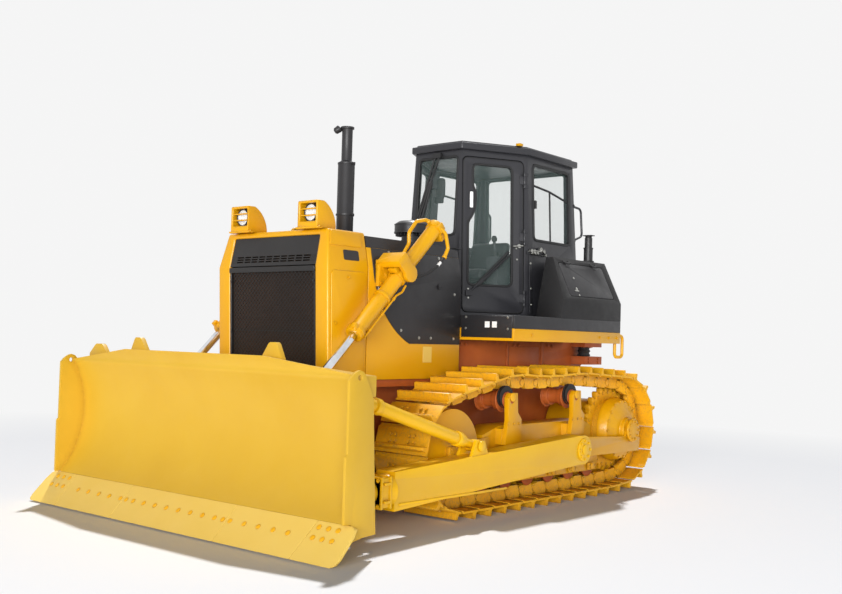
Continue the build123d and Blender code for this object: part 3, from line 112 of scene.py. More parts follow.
class Slot(str, Enum):
    """Material slots of the record."""

    YELLOW = "yellow_paint"
    BLACK = "black_paint"
    STEEL = "dark_steel"
    CHROME = "chrome_rod"
    GLASS = "glass"
    LENS = "lamp_lens"
    SEAT = "seat_vinyl"
    PLASTIC = "console_plastic"


# ------------------------ finishes
class NodeBench:
    """Small helper that places and links shader or geometry nodes."""

    def __init__(self, tree: NodeTree) -> None:
        """Keep the tree that is being built."""
        self.tree, self.count = tree, 0

    def add(self, kind: str, values: dict[str | int, object] | None = None,
            **props: object) -> bpy.types.Node:
        """Add one node.

        Args:
            kind: Blender's node type.
            values: default values or source sockets by input name or index.
            props: properties set before the inputs.

        Returns:
            The new node.
        """
        node = self.tree.nodes.new(kind)
        node.location = (220 * (self.count % 9), -260 * (self.count // 9))
        self.count += 1
        for name, value in props.items():
            setattr(node, name, value)
        self.feed(node, values or {})
        return node

    def feed(self, node: bpy.types.Node, values: dict[str | int, object]) -> None:
        """Link or set a node's inputs.

        Args:
            node: the node.
            values: default values or source sockets by input name or index.
        """
        for key, value in values.items():
            if isinstance(value, Socket):
                self.tree.links.new(value, node.inputs[key])
            else:
                node.inputs[key].default_value = value

    def place(self) -> Socket:
        """Coordinates in metres that stay with the object."""
        return self.add("ShaderNodeTexCoord").outputs["Object"]

    def noise(self, coords: Socket, scale: float, detail: float = 3.0, roughness: float = 0.55) -> Socket:
        """Noise value on given coordinates, its scale in turns per metre."""
        return self.add("ShaderNodeTexNoise", {"Vector": coords, "Scale": scale, "Detail": detail,
                                               "Roughness": roughness}).outputs["Fac"]

    def ranged(self, value: Socket, source: Flat, target: Flat) -> Socket:
        """Map a value from one range to another, clamped."""
        return self.add("ShaderNodeMapRange", {"Value": value, "From Min": source[0], "From Max": source[1],
                                               "To Min": target[0], "To Max": target[1]}).outputs["Result"]

    def math(self, operation: str, first: object, second: object = 0.0) -> Socket:
        """One arithmetic step."""
        return self.add("ShaderNodeMath", {0: first, 1: second}, operation=operation).outputs[0]

    def mix(self, factor: object, first: object, second: object) -> Socket:
        """Mix two colours by a factor."""
        return self.add("ShaderNodeMix", {"Factor": factor, 6: first, 7: second}, data_type="RGBA").outputs[2]


def colour(red: float, green: float, blue: float) -> Tone:
    """Scene-linear colour from display values between 0 and 255."""
    shares = [value / 255.0 for value in (red, green, blue)]
    return *(share / 12.92 if share <= 0.04045 else ((share + 0.055) / 1.055) ** 2.4 for share in shares), 1.0


@dataclass(frozen=True)
class Enamel:
    """Sprayed machine paint: tone drift, orange peel, painted shade in the corners and rubbed edges."""

    name: str
    tone: Tone
    deep: Tone
    # brown or dark tone painted into corners and creases as shade
    grime: Tone
    rough: Flat = (0.30, 0.42)
    coat: float = 0.15
    coat_rough: float = 0.15
    gloss: float = 0.35
    peel: float = 0.00035
    grime_share: float = 0.5
    worn: float = 0.0
    bare: Tone = (0.12, 0.11, 0.10, 1.0)
    slot: Slot = Slot.YELLOW

    def build(self) -> Material:
        """Make the material.

        Returns:
            The material.
        """
        material, bench, shader = new_material(self.name)
        where = bench.place()
        drift = bench.noise(where, 1.7, 4.0)
        tone = bench.mix(bench.ranged(drift, (0.3, 0.7), (0.0, 1.0)), self.tone, self.deep)
        # painted shade: corners and creases found by ambient occlusion are darkened towards a brown tone, in
        # blotches from a noise
        corner = bench.add("ShaderNodeAmbientOcclusion", {"Distance": 0.07}, samples=4).outputs["AO"]
        film = bench.noise(where, 23.0, 5.0, 0.65)
        shade = bench.math("MULTIPLY", bench.ranged(corner, (0.35, 0.95), (1.0, 0.0)),
                           bench.ranged(film, (0.3, 0.65), (0.35, 1.0)))
        tone = bench.mix(bench.math("MULTIPLY", shade, self.grime_share), tone, self.grime)
        rough = bench.ranged(bench.noise(where, 9.0, 5.0, 0.6), (0.3, 0.7), self.rough)
        if self.worn > 0:
            edge = bench.add("ShaderNodeNewGeometry").outputs["Pointiness"]
            rub = bench.math("MULTIPLY", bench.ranged(edge, (0.53, 0.60), (0.0, 1.0)),
                             bench.ranged(bench.noise(where, 41.0, 6.0, 0.7), (0.48, 0.62), (0.0, 1.0)))
            rub = bench.math("MULTIPLY", rub, self.worn)
            tone = bench.mix(rub, tone, self.bare)
        fine = bench.noise(where, 420.0, 2.0)
        broad = bench.noise(where, 60.0, 2.0)
        height = bench.math("ADD", fine, bench.math("MULTIPLY", broad, 0.6))
        bump = bench.add("ShaderNodeBump", {"Strength": 0.35, "Distance": self.peel, "Height": height})
        bench.feed(shader, {"Base Color": tone, "Roughness": rough, "Normal": bump.outputs["Normal"],
                            "Specular IOR Level": self.gloss, "Coat Weight": self.coat,
                            "Coat Roughness": self.coat_rough})
        return material


@dataclass(frozen=True)
class BareMetal:
    """Metal surface with fine turning or grinding marks."""

    name: str
    tone: Tone
    rough: Flat = (0.12, 0.22)
    metallic: float = 1.0
    mark_scale: float = 160.0
    mark_depth: float = 0.00006
    slot: Slot = Slot.STEEL

    def build(self) -> Material:
        """Make the material.

        Returns:
            The material.
        """
        material, bench, shader = new_material(self.name)
        where = bench.place()
        marks = bench.noise(where, self.mark_scale, 3.0)
        stain = bench.noise(where, 7.0, 4.0)
        darker = tuple(c * 0.72 for c in self.tone[:3]) + (1.0,)
        tone = bench.mix(bench.ranged(stain, (0.35, 0.7), (0.0, 1.0)), self.tone, darker)
        bump = bench.add("ShaderNodeBump", {"Strength": 0.3, "Distance": self.mark_depth, "Height": marks})
        bench.feed(shader, {"Base Color": tone, "Roughness": bench.ranged(stain, (0.3, 0.7), self.rough),
                            "Normal": bump.outputs["Normal"], "Metallic": self.metallic})
        return material


@dataclass(frozen=True)
class Moulded:
    """Moulded rubber, plastic or vinyl with its grain."""

    name: str
    tone: Tone
    rough: Flat = (0.55, 0.7)
    grain: float = 900.0
    depth: float = 0.0002
    sheen: float = 0.0
    slot: Slot = Slot.STEEL

    def build(self) -> Material:
        """Make the material.

        Returns:
            The material.
        """
        material, bench, shader = new_material(self.name)
        where = bench.place()
        cells = bench.add("ShaderNodeTexVoronoi", {"Vector": where, "Scale": self.grain})
        dust = bench.noise(where, 14.0, 4.0)
        lighter = tuple(c * 1.9 + 0.004 for c in self.tone[:3]) + (1.0,)
        tone = bench.mix(bench.ranged(dust, (0.45, 0.8), (0.0, 0.5)), self.tone, lighter)
        bump = bench.add("ShaderNodeBump", {"Strength": 0.4, "Distance": self.depth,
                                            "Height": cells.outputs["Distance"]})
        bench.feed(shader, {"Base Color": tone, "Roughness": bench.ranged(dust, (0.3, 0.7), self.rough),
                            "Normal": bump.outputs["Normal"], "Sheen Weight": self.sheen})
        return material


@dataclass(frozen=True)
class Glazing:
    """Tinted safety glass or a clear lens, with a faint film."""

    name: str
    tint: Tone
    ior: float = 1.45
    rough: float = 0.02
    clear: float = 0.86
    slot: Slot = Slot.GLASS

    def build(self) -> Material:
        """Make the material: a mostly see-through sheet with a glossy surface.

        Returns:
            The material.
        """
        material, bench, shader = new_material(self.name)
        where = bench.place()
        film = bench.ranged(bench.noise(where, 3.5, 5.0), (0.35, 0.75), (self.rough, self.rough + 0.06))
        bench.feed(shader,
                   {"Roughness": film, "Base Color": self.tint, "IOR": self.ior, "Alpha": 1.0 - self.clear})
        material.surface_render_method = "BLENDED"
        return material


def new_material(name: str) -> tuple[Material, NodeBench, bpy.types.Node]:
    """Empty node material.

    Args:
        name: material name.

    Returns:
        The material, a bench for its tree and its principled shader.
    """
    material = bpy.data.materials.new(name)
    material.use_nodes = True
    bench = NodeBench(material.node_tree)
    shader = next(node for node in material.node_tree.nodes if node.type == "BSDF_PRINCIPLED")
    return material, bench, shader


class Finish(Enum):
    """Finishes of the machine."""

    # the third tone of each enamel is the shade painted into its corners and creases
    YELLOW = Enamel("yellow enamel", colour(232, 172, 8), colour(226, 162, 4), colour(104, 52, 8))
    BLADE = Enamel("blade enamel", colour(214, 172, 48), colour(209, 165, 40), colour(140, 90, 20),
                   rough=(0.42, 0.55), coat=0.12, coat_rough=0.3)
    # same yellow paint made lighter on the push arms: painted light, for the light that the blade keeps off
    # them
    ARM = Enamel("push arm enamel", colour(246, 194, 14), colour(240, 184, 10), colour(120, 66, 10))
    TRACK = Enamel("track enamel", colour(248, 188, 24), colour(236, 168, 14), colour(96, 46, 10),
                   rough=(0.4, 0.6), coat=0.1, coat_rough=0.3, grime_share=0.85, worn=0.4)
    HULL = Enamel("hull enamel in shade", colour(190, 98, 40), colour(164, 78, 32), colour(78, 34, 14),
                  rough=(0.45, 0.6), coat=0.1, coat_rough=0.3, grime_share=0.7)
    EDGE = Enamel("cutting edge enamel", colour(238, 202, 100), colour(234, 196, 88), colour(140, 90, 20),
                  rough=(0.42, 0.55), coat=0.1, coat_rough=0.3, grime_share=0.3)
    BLACK = Enamel("black enamel", colour(44, 43, 45), colour(36, 35, 37), colour(28, 25, 23),
                   rough=(0.42, 0.55), coat=0.15, coat_rough=0.25, grime_share=0.4, slot=Slot.BLACK)
    CAB = Enamel("cab enamel", colour(50, 50, 54), colour(43, 43, 47), colour(28, 27, 27),
                 rough=(0.38, 0.5), coat=0.2, coat_rough=0.22, grime_share=0.35, slot=Slot.BLACK)
    # black enamel made darker for the side boxes: painted shade
    SHADED = Enamel("side box enamel", colour(26, 25, 26), colour(20, 19, 20), colour(14, 12, 12),
                    rough=(0.5, 0.62), coat=0.05, coat_rough=0.3, grime_share=0.3, slot=Slot.BLACK)
    GRILLE = Enamel("grille enamel", colour(34, 32, 32), colour(28, 26, 26), colour(16, 14, 12),
                    rough=(0.4, 0.5), grime_share=0.2, slot=Slot.BLACK)
    CORE = Enamel("radiator core", colour(66, 42, 26), colour(40, 27, 18), colour(14, 10, 8),
                  rough=(0.6, 0.8), coat=0.0, slot=Slot.STEEL)
    IRON = BareMetal("dark iron", colour(74, 66, 60), rough=(0.45, 0.65), metallic=0.75, mark_depth=0.0003)
    ZINC = BareMetal("zinc plated steel", colour(196, 196, 190), rough=(0.25, 0.4))
    CHROME = BareMetal("hard chrome", colour(232, 234, 238), rough=(0.05, 0.11), slot=Slot.CHROME)
    RUBBER = Moulded("black rubber", colour(26, 26, 27), grain=1200.0, depth=0.00015)
    PLASTIC = Moulded("console plastic", colour(64, 65, 68), grain=1500.0, slot=Slot.PLASTIC)
    VINYL = Moulded("seat vinyl", colour(44, 45, 48), rough=(0.45, 0.6), grain=700.0, depth=0.0004, sheen=0.2,
                    slot=Slot.SEAT)
    GLASS = Glazing("tinted cab glass", colour(150, 176, 170), clear=0.92)
    LENS = Glazing("lamp lens", colour(250, 250, 248), clear=0.7, slot=Slot.LENS)
    BOWL = Moulded("lamp reflector", colour(246, 246, 244), rough=(0.15, 0.25), grain=300.0, slot=Slot.LENS)

    @cached_property
    def material(self) -> Material:
        """The finish as a Blender material, built on first use."""
        return self.value.build()


# ------------------------ shapes
class Draft:
    """Mesh of one piece, put together from simple solids with real edges."""

    def __init__(self) -> None:
        """Start with an empty mesh."""
        self.bm = bmesh.new()

    def skin(self, rings: Iterable[Sequence[Vector]], caps: bool = True) -> None:
        """Skin a row of rings.

        Args:
            rings: rings of points, the same number in each.
            caps: whether the two ends are closed.
        """
        rows = [[self.bm.verts.new(point) for point in ring] for ring in rings]
        count = len(rows[0])
        for first, second in zip(rows, rows[1:]):
            for i in range(count):
                j = (i + 1) % count
                self.bm.faces.new((first[i], first[j], second[j], second[i]))
        if caps:
            self.bm.faces.new(list(reversed(rows[0])))
            self.bm.faces.new(rows[-1])

    def block(self, low: Point, high: Point, place: Matrix = Matrix.Identity(4)) -> Draft:
        """Box between two corners, optionally in its own placement."""
        (x0, y0, z0), (x1, y1, z1) = low, high
        return self.slab([(x0, y0), (x1, y0), (x1, y1), (x0, y1)], place, z0, z1)

    def slab(self, outline: Sequence[Flat], place: Matrix, start: float, end: float) -> Draft:
        """Flat outline in a placement's x and y, drawn out along its z."""
        self.skin([[place @ Vector((a, b, height)) for a, b in outline] for height in (start, end)])
        return self

    def turned(self, profile: Sequence[Flat], place: Matrix, steps: int = 32) -> Draft:
        """Solid of revolution about a placement's z.

        Args:
            profile: (radius, height) points from one end of the axis to the other.
            place: placement whose z is the axis.
            steps: faces around.

        Returns:
            This draft.
        """
        self.skin([[place @ Vector((radius * a, radius * b, height)) for a, b in circle(steps)]
                   for radius, height in profile])
        return self

    def bar(self, start: Point, end: Point, radius: float, steps: int = 24) -> Draft:
        """Round bar between two points."""
        length = (Vector(end) - Vector(start)).length
        return self.turned([(radius, 0.0), (radius, length)], axis_place(start, end), steps)

    def rods(self, place: Matrix, rows: Iterable[Rod]) -> None:
        """Round bars in a placement, from rows of (start, end, radius, steps)."""
        for start, end, radius, steps in rows:
            self.bar(*on(place, start, end), radius, steps)

    def twins(self, low: Point, high: Point) -> None:
        """Box on the left half of the machine and its mirror image."""
        for sign in (-1, 1):
            self.block((sign * low[0], *low[1:]), (sign * high[0], *high[1:]))

    def twin_bars(self, start: Point, end: Point, radius: float, steps: int = 24) -> None:
        """Bar on the left half of the machine and its mirror image."""
        for sign in (-1, 1):
            self.bar((sign * start[0], *start[1:]), (sign * end[0], *end[1:]), radius, steps)

    def ring(self, radii: Flat, heights: Flat, place: Matrix, steps: int = 40) -> Draft:
        """Plain ring about a placement's z, from its inner to its outer radius.

        Args:
            radii: inner and outer radius.
            heights: its foot and its top along z.
            place: placement whose z is the axis.
            steps: faces around.

        Returns:
            This draft.
        """
        (inner, outer), (low, high) = radii, heights
        corners = ((inner, low), (outer, low), (outer, high), (inner, high), (inner, low))
        self.skin([[place @ Vector((r * a, r * b, z)) for a, b in circle(steps)] for r, z in corners],
                  caps=False)
        return self

    def hexagon(self, centre: Point, towards: Point, radius: float, height: float) -> Draft:
        """Hexagon head with a chamfered top on a washer.

        Args:
            centre: middle of its foot.
            towards: where the head points.
            radius: radius over the corners.
            height: height of the head.

        Returns:
            This draft.
        """
        place = axis_place(centre, tuple(Vector(centre) + Vector(towards)))
        self.turned([(radius * 1.35, 0.0), (radius * 1.35, height * 0.22)], place, 14)
        self.turned([(radius, height * 0.22), (radius, height * 0.88), (radius * 0.84, height)], place, 6)
        return self

    def piece(self, name: str, finish: Finish, bevel: float = 0.0, segments: int = 2, smooth: float = 35.0,
              limit: float = 30.0) -> Thing:
        """Close the draft into an object.

        Args:
            name: piece name.
            finish: its finish.
            bevel: edge radius, none where 0.
            segments: faces across an edge.
            smooth: edges flatter than this many degrees are shaded smooth.
            limit: edges sharper than this many degrees are rounded.

        Returns:
            The object, at the origin.
        """
        bmesh.ops.remove_doubles(self.bm, verts=self.bm.verts, dist=1e-6)
        bmesh.ops.recalc_face_normals(self.bm, faces=self.bm.faces)
        mesh = bpy.data.meshes.new(name)
        self.bm.to_mesh(mesh)
        self.bm.free()
        obj = linked(name, mesh)
        mesh.materials.append(finish.material)
        round_edges(obj, bevel, segments, limit)
        shade(obj, smooth)
        return obj


def linked(name: str, data: bpy.types.ID) -> Thing:
    """New object in the scene, at the origin.

    Args:
        name: its name.
        data: mesh, lamp or camera.

    Returns:
        The object.
    """
    obj = bpy.data.objects.new(name, data)
    bpy.context.scene.collection.objects.link(obj)
    return obj


def circle(steps: int) -> list[Flat]:
    """Points around a circle of radius one."""
    return [(cos(2 * pi * i / steps), sin(2 * pi * i / steps)) for i in range(steps)]


def axis_place(start: Point, end: Point) -> Matrix:
    """Placement at start whose z points to end."""
    turn = (Vector(end) - Vector(start)).to_track_quat("Z", "Y").to_matrix().to_4x4()
    return Matrix.Translation(Vector(start)) @ turn


def frame_place(origin: Point, x_dir: Point, z_dir: Point) -> Matrix:
    """Placement from an origin, an x direction and a z direction.

    Args:
        origin: where it sits.
        x_dir: about where its x points.
        z_dir: where its z points.

    Returns:
        The placement.
    """
    z_axis = Vector(z_dir).normalized()
    x_axis = (Vector(x_dir) - z_axis * Vector(x_dir).dot(z_axis)).normalized()
    y_axis = z_axis.cross(x_axis)
    return Matrix.Translation(Vector(origin)) @ Matrix((x_axis, y_axis, z_axis)).transposed().to_4x4()


def round_edges(obj: Thing, width: float, segments: int, limit: float) -> None:
    """Put a bevel on an object's sharp edges and apply it.

    Args:
        obj: the object.
        width: edge radius, none where 0.
        segments: faces across an edge.
        limit: edges sharper than this many degrees are rounded.
    """
    if width <= 0:
        return
    bevel = obj.modifiers.new("eased edges", "BEVEL")
    bevel.width, bevel.segments = width, segments
    bevel.limit_method, bevel.angle_limit = "ANGLE", radians(limit)
    bevel.miter_outer = "MITER_ARC"
    bevel.use_clamp_overlap = True
    bake_modifiers(obj)


def bake_modifiers(obj: Thing) -> None:
    """Turn the evaluated object into its own plain mesh and drop its modifiers.

    Args:
        obj: the object.
    """
    evaluated = obj.evaluated_get(bpy.context.evaluated_depsgraph_get())
    mesh = bpy.data.meshes.new_from_object(evaluated)
    old = obj.data
    obj.modifiers.clear()
    obj.data = mesh
    mesh.name = old.name
    bpy.data.meshes.remove(old)


def shade(obj: Thing, angle: float) -> None:
    """Smooth shading with sharp edges above an angle in degrees."""
    obj.data.polygons.foreach_set("use_smooth", [True] * len(obj.data.polygons))
    obj.data.set_sharp_from_angle(angle=radians(angle))


def eased_copy(node: str, name: str, finish: Finish, bevel: float = 0.006, segments: int = 2,
               limit: float = 30.0, smooth: float = 35.0, merge: bool = True) -> Thing:
    """Copy of a CAD node with its seams closed and its edges rounded.

    Args:
        node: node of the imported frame.
        name: name of the new piece.
        finish: its finish.
        bevel: edge radius.
        segments: faces across an edge.
        limit: edges sharper than this many degrees are rounded.
        smooth: edges flatter than this many degrees are shaded smooth.
        merge: whether flat neighbours become one face first; not for walls with windows.

    Returns:
        The new piece, which stands in for the node.
    """
    source = FRAME["nodes"][node]
    bm = bmesh.new()
    bm.from_mesh(source.data)
    bmesh.ops.remove_doubles(bm, verts=bm.verts, dist=WELD)
    if merge:
        bmesh.ops.dissolve_limit(bm, angle_limit=radians(FLAT_DEG), verts=bm.verts, edges=bm.edges)
    mesh = bpy.data.meshes.new(name)
    bm.to_mesh(mesh)
    bm.free()
    mesh.materials.append(finish.material)
    for polygon in mesh.polygons:
        polygon.material_index = 0
    obj = linked(name, mesh)
    round_edges(obj, bevel, segments, limit)
    shade(obj, smooth)
    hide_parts(node)
    return obj


def mirrored(obj: Thing, name: str) -> Thing:
    """Right-hand twin of a left-hand piece.

    Args:
        obj: the left-hand piece.
        name: the twin's name.

    Returns:
        The right-hand piece.
    """
    twin = obj.copy()
    twin.data = obj.data.copy()
    twin.name = twin.data.name = name
    bpy.context.scene.collection.objects.link(twin)
    bm = bmesh.new()
    bm.from_mesh(twin.data)
    bmesh.ops.scale(bm, vec=(-1, 1, 1), verts=bm.verts)
    bmesh.ops.reverse_faces(bm, faces=bm.faces)
    bm.to_mesh(twin.data)
    bm.free()
    return twin


def rounded(points: Sequence[Flat], radius: float, steps: int = 6) -> list[Flat]:
    """Outline with its corners rounded.

    Args:
        points: corners in order.
        radius: reach of each rounding along both edges.
        steps: edges per corner.

    Returns:
        The rounded outline.
    """
    result: list[Flat] = []
    count = len(points)
    for i, here in enumerate(points):
        before, after = Vector(points[i - 1]), Vector(points[(i + 1) % count])
        corner = Vector(here)
        back, ahead = (before - corner), (after - corner)
        reach = min(radius, 0.45 * back.length, 0.45 * ahead.length)
        start, end = corner + back.normalized() * reach, corner + ahead.normalized() * reach
        for k in range(steps + 1):
            t = k / steps
            point = start * (1 - t) ** 2 + corner * 2 * t * (1 - t) + end * t * t
            result.append((point.x, point.y))
    return result


# ------------------------ repeats
class Tree:
    """Geometry node tree with named inputs."""

    def __init__(self, name: str) -> None:
        """Open a tree with a geometry input and output.

        Args:
            name: the tree's name.
        """
        self.tree = bpy.data.node_groups.new(name, "GeometryNodeTree")
        self.bench = NodeBench(self.tree)
        self.tree.interface.new_socket(name="Geometry", in_out="INPUT", socket_type="NodeSocketGeometry")
        self.tree.interface.new_socket(name="Geometry", in_out="OUTPUT", socket_type="NodeSocketGeometry")
        self.way_in = self.bench.add("NodeGroupInput")

    def size(self, name: str, kind: str = "Float") -> Socket:
        """Add a named input and return its socket."""
        self.tree.interface.new_socket(name=name, in_out="INPUT", socket_type=f"NodeSocket{kind}")
        return self.way_in.outputs[name]

    def close(self, geometry: Socket, finish: Socket) -> None:
        """Realize the instances, set the material and end the tree.

        Args:
            geometry: geometry with the instances.
            finish: the material's socket.
        """
        real = self.bench.add("GeometryNodeRealizeInstances", {"Geometry": geometry})
        painted = self.bench.add("GeometryNodeSetMaterial", {"Geometry": real.outputs[0], "Material": finish})
        self.bench.add("NodeGroupOutput", {"Geometry": painted.outputs[0]})


@cache
def scatter_tree() -> NodeTree:
    """Copies of one part on marked points, each turned to its point's two directions.

    Returns:
        The tree.
    """
    tree = Tree("parts on marked points")
    part, finish = tree.size("Part", "Object"), tree.size("Finish", "Material")
    bench = tree.bench
    along, out = (bench.add("GeometryNodeInputNamedAttribute", {"Name": name}, data_type="FLOAT_VECTOR")
                  for name in ("along", "out"))
    first = bench.add("FunctionNodeAlignRotationToVector", {"Vector": out.outputs["Attribute"]}, axis="Z")
    second = bench.add("FunctionNodeAlignRotationToVector",
                       {"Rotation": first.outputs[0], "Vector": along.outputs["Attribute"]}, axis="X",
                       pivot_axis="Z")
    info = bench.add("GeometryNodeObjectInfo", {"Object": part, "As Instance": True})
    placed = bench.add("GeometryNodeInstanceOnPoints", {"Points": tree.way_in.outputs["Geometry"],
                                                        "Instance": info.outputs["Geometry"],
                                                        "Rotation": second.outputs[0]})
    tree.close(placed.outputs[0], finish)
    return tree.tree


@cache
def lattice_tree() -> NodeTree:
    """Rows and columns of one part, every other row shifted by half a column.

    Returns:
        The tree.
    """
    tree = Tree("staggered lattice")
    part, finish = tree.size("Part", "Object"), tree.size("Finish", "Material")
    columns, rows = tree.size("Columns", "Int"), tree.size("Rows", "Int")
    width, height = tree.size("Width"), tree.size("Height")
    shift = tree.size("Row Shift")
    face, place = tree.size("Face", "Vector"), tree.size("Place", "Vector")
    bench = tree.bench
    grid = bench.add("GeometryNodeMeshGrid", {"Size X": width, "Size Y": height, "Vertices X": columns,
                                              "Vertices Y": rows})
    index = bench.add("GeometryNodeInputIndex").outputs[0]
    odd = bench.math("MODULO", index, rows)
    odd = bench.math("MODULO", odd, 2.0)
    offset = bench.add("ShaderNodeCombineXYZ", {"X": bench.math("MULTIPLY", odd, shift)})
    moved = bench.add("GeometryNodeSetPosition",
                      {"Geometry": grid.outputs["Mesh"], "Offset": offset.outputs[0]})
    info = bench.add("GeometryNodeObjectInfo", {"Object": part, "As Instance": True})
    placed = bench.add("GeometryNodeInstanceOnPoints", {"Points": moved.outputs[0],
                                                        "Instance": info.outputs["Geometry"]})
    turned = bench.add("GeometryNodeTransform",
                       {"Geometry": placed.outputs[0], "Rotation": face, "Translation": place})
    tree.close(turned.outputs[0], finish)
    return tree.tree


@cache
def pipe_tree() -> NodeTree:
    """Round tube along a line with its corners bent to a radius.

    Returns:
        The tree.
    """
    tree = Tree("bent tube")
    finish = tree.size("Finish", "Material")
    radius, bend, sides = tree.size("Radius"), tree.size("Bend"), tree.size("Sides", "Int")
    bench = tree.bench
    line = bench.add("GeometryNodeMeshToCurve", {"Mesh": tree.way_in.outputs["Geometry"]})
    bent = bench.add("GeometryNodeFilletCurve", {"Curve": line.outputs[0], "Radius": bend, "Count": 7,
                                                 "Limit Radius": True}, mode="POLY")
    ring = bench.add("GeometryNodeCurvePrimitiveCircle", {"Radius": radius, "Resolution": sides})
    tube = bench.add("GeometryNodeCurveToMesh", {"Curve": bent.outputs[0], "Profile Curve": ring.outputs[0],
                                                 "Fill Caps": True})
    smooth = bench.add("GeometryNodeSetShadeSmooth", {"Geometry": tube.outputs[0]})
    tree.close(smooth.outputs[0], finish)
    return tree.tree


def run_tree(tree: NodeTree, obj: Thing, **sizes: object) -> Thing:
    """Run a tree on an object and keep the result as a plain mesh.

    Args:
        tree: the geometry node tree.
        obj: object that carries the points or the line.
        sizes: the tree's inputs by name, with spaces as underscores.

    Returns:
        The same object with its new mesh.
    """
    modifier = obj.modifiers.new(tree.name, "NODES")
    modifier.node_group = tree
    sockets = {item.name: item.identifier for item in tree.interface.items_tree if item.in_out == "INPUT"}
    for name, value in sizes.items():
        modifier[sockets[name.replace("_", " ")]] = value
    obj.update_tag()
    bake_modifiers(obj)
    return obj


def points_object(name: str, points: Sequence[Point], along: Sequence[Point] | None = None,
                  out: Sequence[Point] | None = None, edges: bool = False) -> Thing:
    """Mesh of loose points, or one line, that a tree works on.

    Args:
        name: object name.
        points: places.
        along: direction of each copy's x.
        out: direction of each copy's z.
        edges: whether the points are joined in a line.

    Returns:
        The object.
    """
    mesh = bpy.data.meshes.new(name)
    steps = [(i, i + 1) for i in range(len(points) - 1)] if edges else []
    mesh.from_pydata([tuple(point) for point in points], steps, [])
    for label, vectors in (("along", along), ("out", out)):
        if vectors is not None:
            layer = mesh.attributes.new(label, "FLOAT_VECTOR", "POINT")
            layer.data.foreach_set("vector", [c for v in vectors for c in v])
    return linked(name, mesh)


def scatter(name: str, part: Thing, rows: Sequence[Spot], finish: Finish) -> Thing:
    """Copies of a part on marked points.

    Args:
        name: name of the new piece.
        part: the part that is repeated.
        rows: place of each copy, and where its x and its z point.
        finish: finish of the copies.

    Returns:
        The new piece.
    """
    places, along, out = zip(*rows)
    obj = points_object(name, places, along, out)
    return run_tree(scatter_tree(), obj, Part=part, Finish=finish.material)


def pipe(name: str, route: Sequence[Point], radius: float, finish: Finish, bend: float = 0.04,
         sides: int = 14) -> Thing:
    """Bent tube along a route.

    Args:
        name: name of the new piece.
        route: corners of the tube's middle line.
        radius: outer radius.
        finish: its finish.
        bend: radius of the bends.
        sides: faces around.

    Returns:
        The new piece.
    """
    obj = points_object(name, route, edges=True)
    return run_tree(pipe_tree(), obj, Finish=finish.material, Radius=radius, Bend=bend, Sides=sides)


def joined(name: str, parts: Sequence[Thing]) -> Thing:
    """Join plain pieces of one finish into one.

    Args:
        name: name of the joined piece.
        parts: the pieces, which are used up.

    Returns:
        The joined piece.
    """
    bm = bmesh.new()
    for part in parts:
        bm.from_mesh(part.data)
    for face in bm.faces:
        face.material_index = 0
    mesh = bpy.data.meshes.new(name)
    bm.to_mesh(mesh)
    bm.free()
    mesh.materials.append(parts[0].data.materials[0])
    for part in parts:
        bpy.data.objects.remove(part)
    return linked(name, mesh)


class Yard:
    """Keeps spare parts out of the scene and hands finished pieces to their bodies."""

    def __init__(self) -> None:
        """No spare parts yet."""
        self.spares: list[Thing] = []

    def spare(self, obj: Thing) -> Thing:
        """Remember a part that is only a source for repeats."""
        self.spares.append(obj)
        return obj

    def ship(self, obj: Thing, body: str = Body.ROOT.value, slot: Slot | None = None) -> None:
        """Put a finished piece on its body.

        Args:
            obj: the piece.
            body: body that carries it.
            slot: slot of the record, where it isn't its finish's own; worked out but not used.
        """
        worn = obj.data.materials[0].name
        slot = slot or next(finish.value.slot for finish in Finish if finish.value.name == worn)
        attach(obj, body)
        LOG.info("%s rides on %s, %d faces", obj.name, body, len(obj.data.polygons))

    def ship_pair(self, left: Thing, body: Body = Body.ROOT) -> None:
        """Ship a left-hand piece and its right-hand twin, each on its own side's body.

        Args:
            left: the left-hand piece.
            body: root, or the body that each side has its own of.
        """
        right = mirrored(left, left.name.replace("left", "right"))
        for obj, side in ((right, Side.RIGHT), (left, Side.LEFT)):
            self.ship(obj, body.value if body is Body.ROOT else body.of(side.word))

    def clear(self) -> None:
        """Delete the spare parts."""
        for obj in self.spares:
            bpy.data.objects.remove(obj)
        self.spares.clear()


YARD = Yard()


def bolt(name: str, radius: float = 0.011, height: float = 0.012, finish: Finish = Finish.YELLOW) -> Thing:
    """Spare hexagon bolt whose head points along z."""
    return YARD.spare(Draft().hexagon((0, 0, 0), (0, 0, 1), radius, height).piece(name, finish, smooth=30))


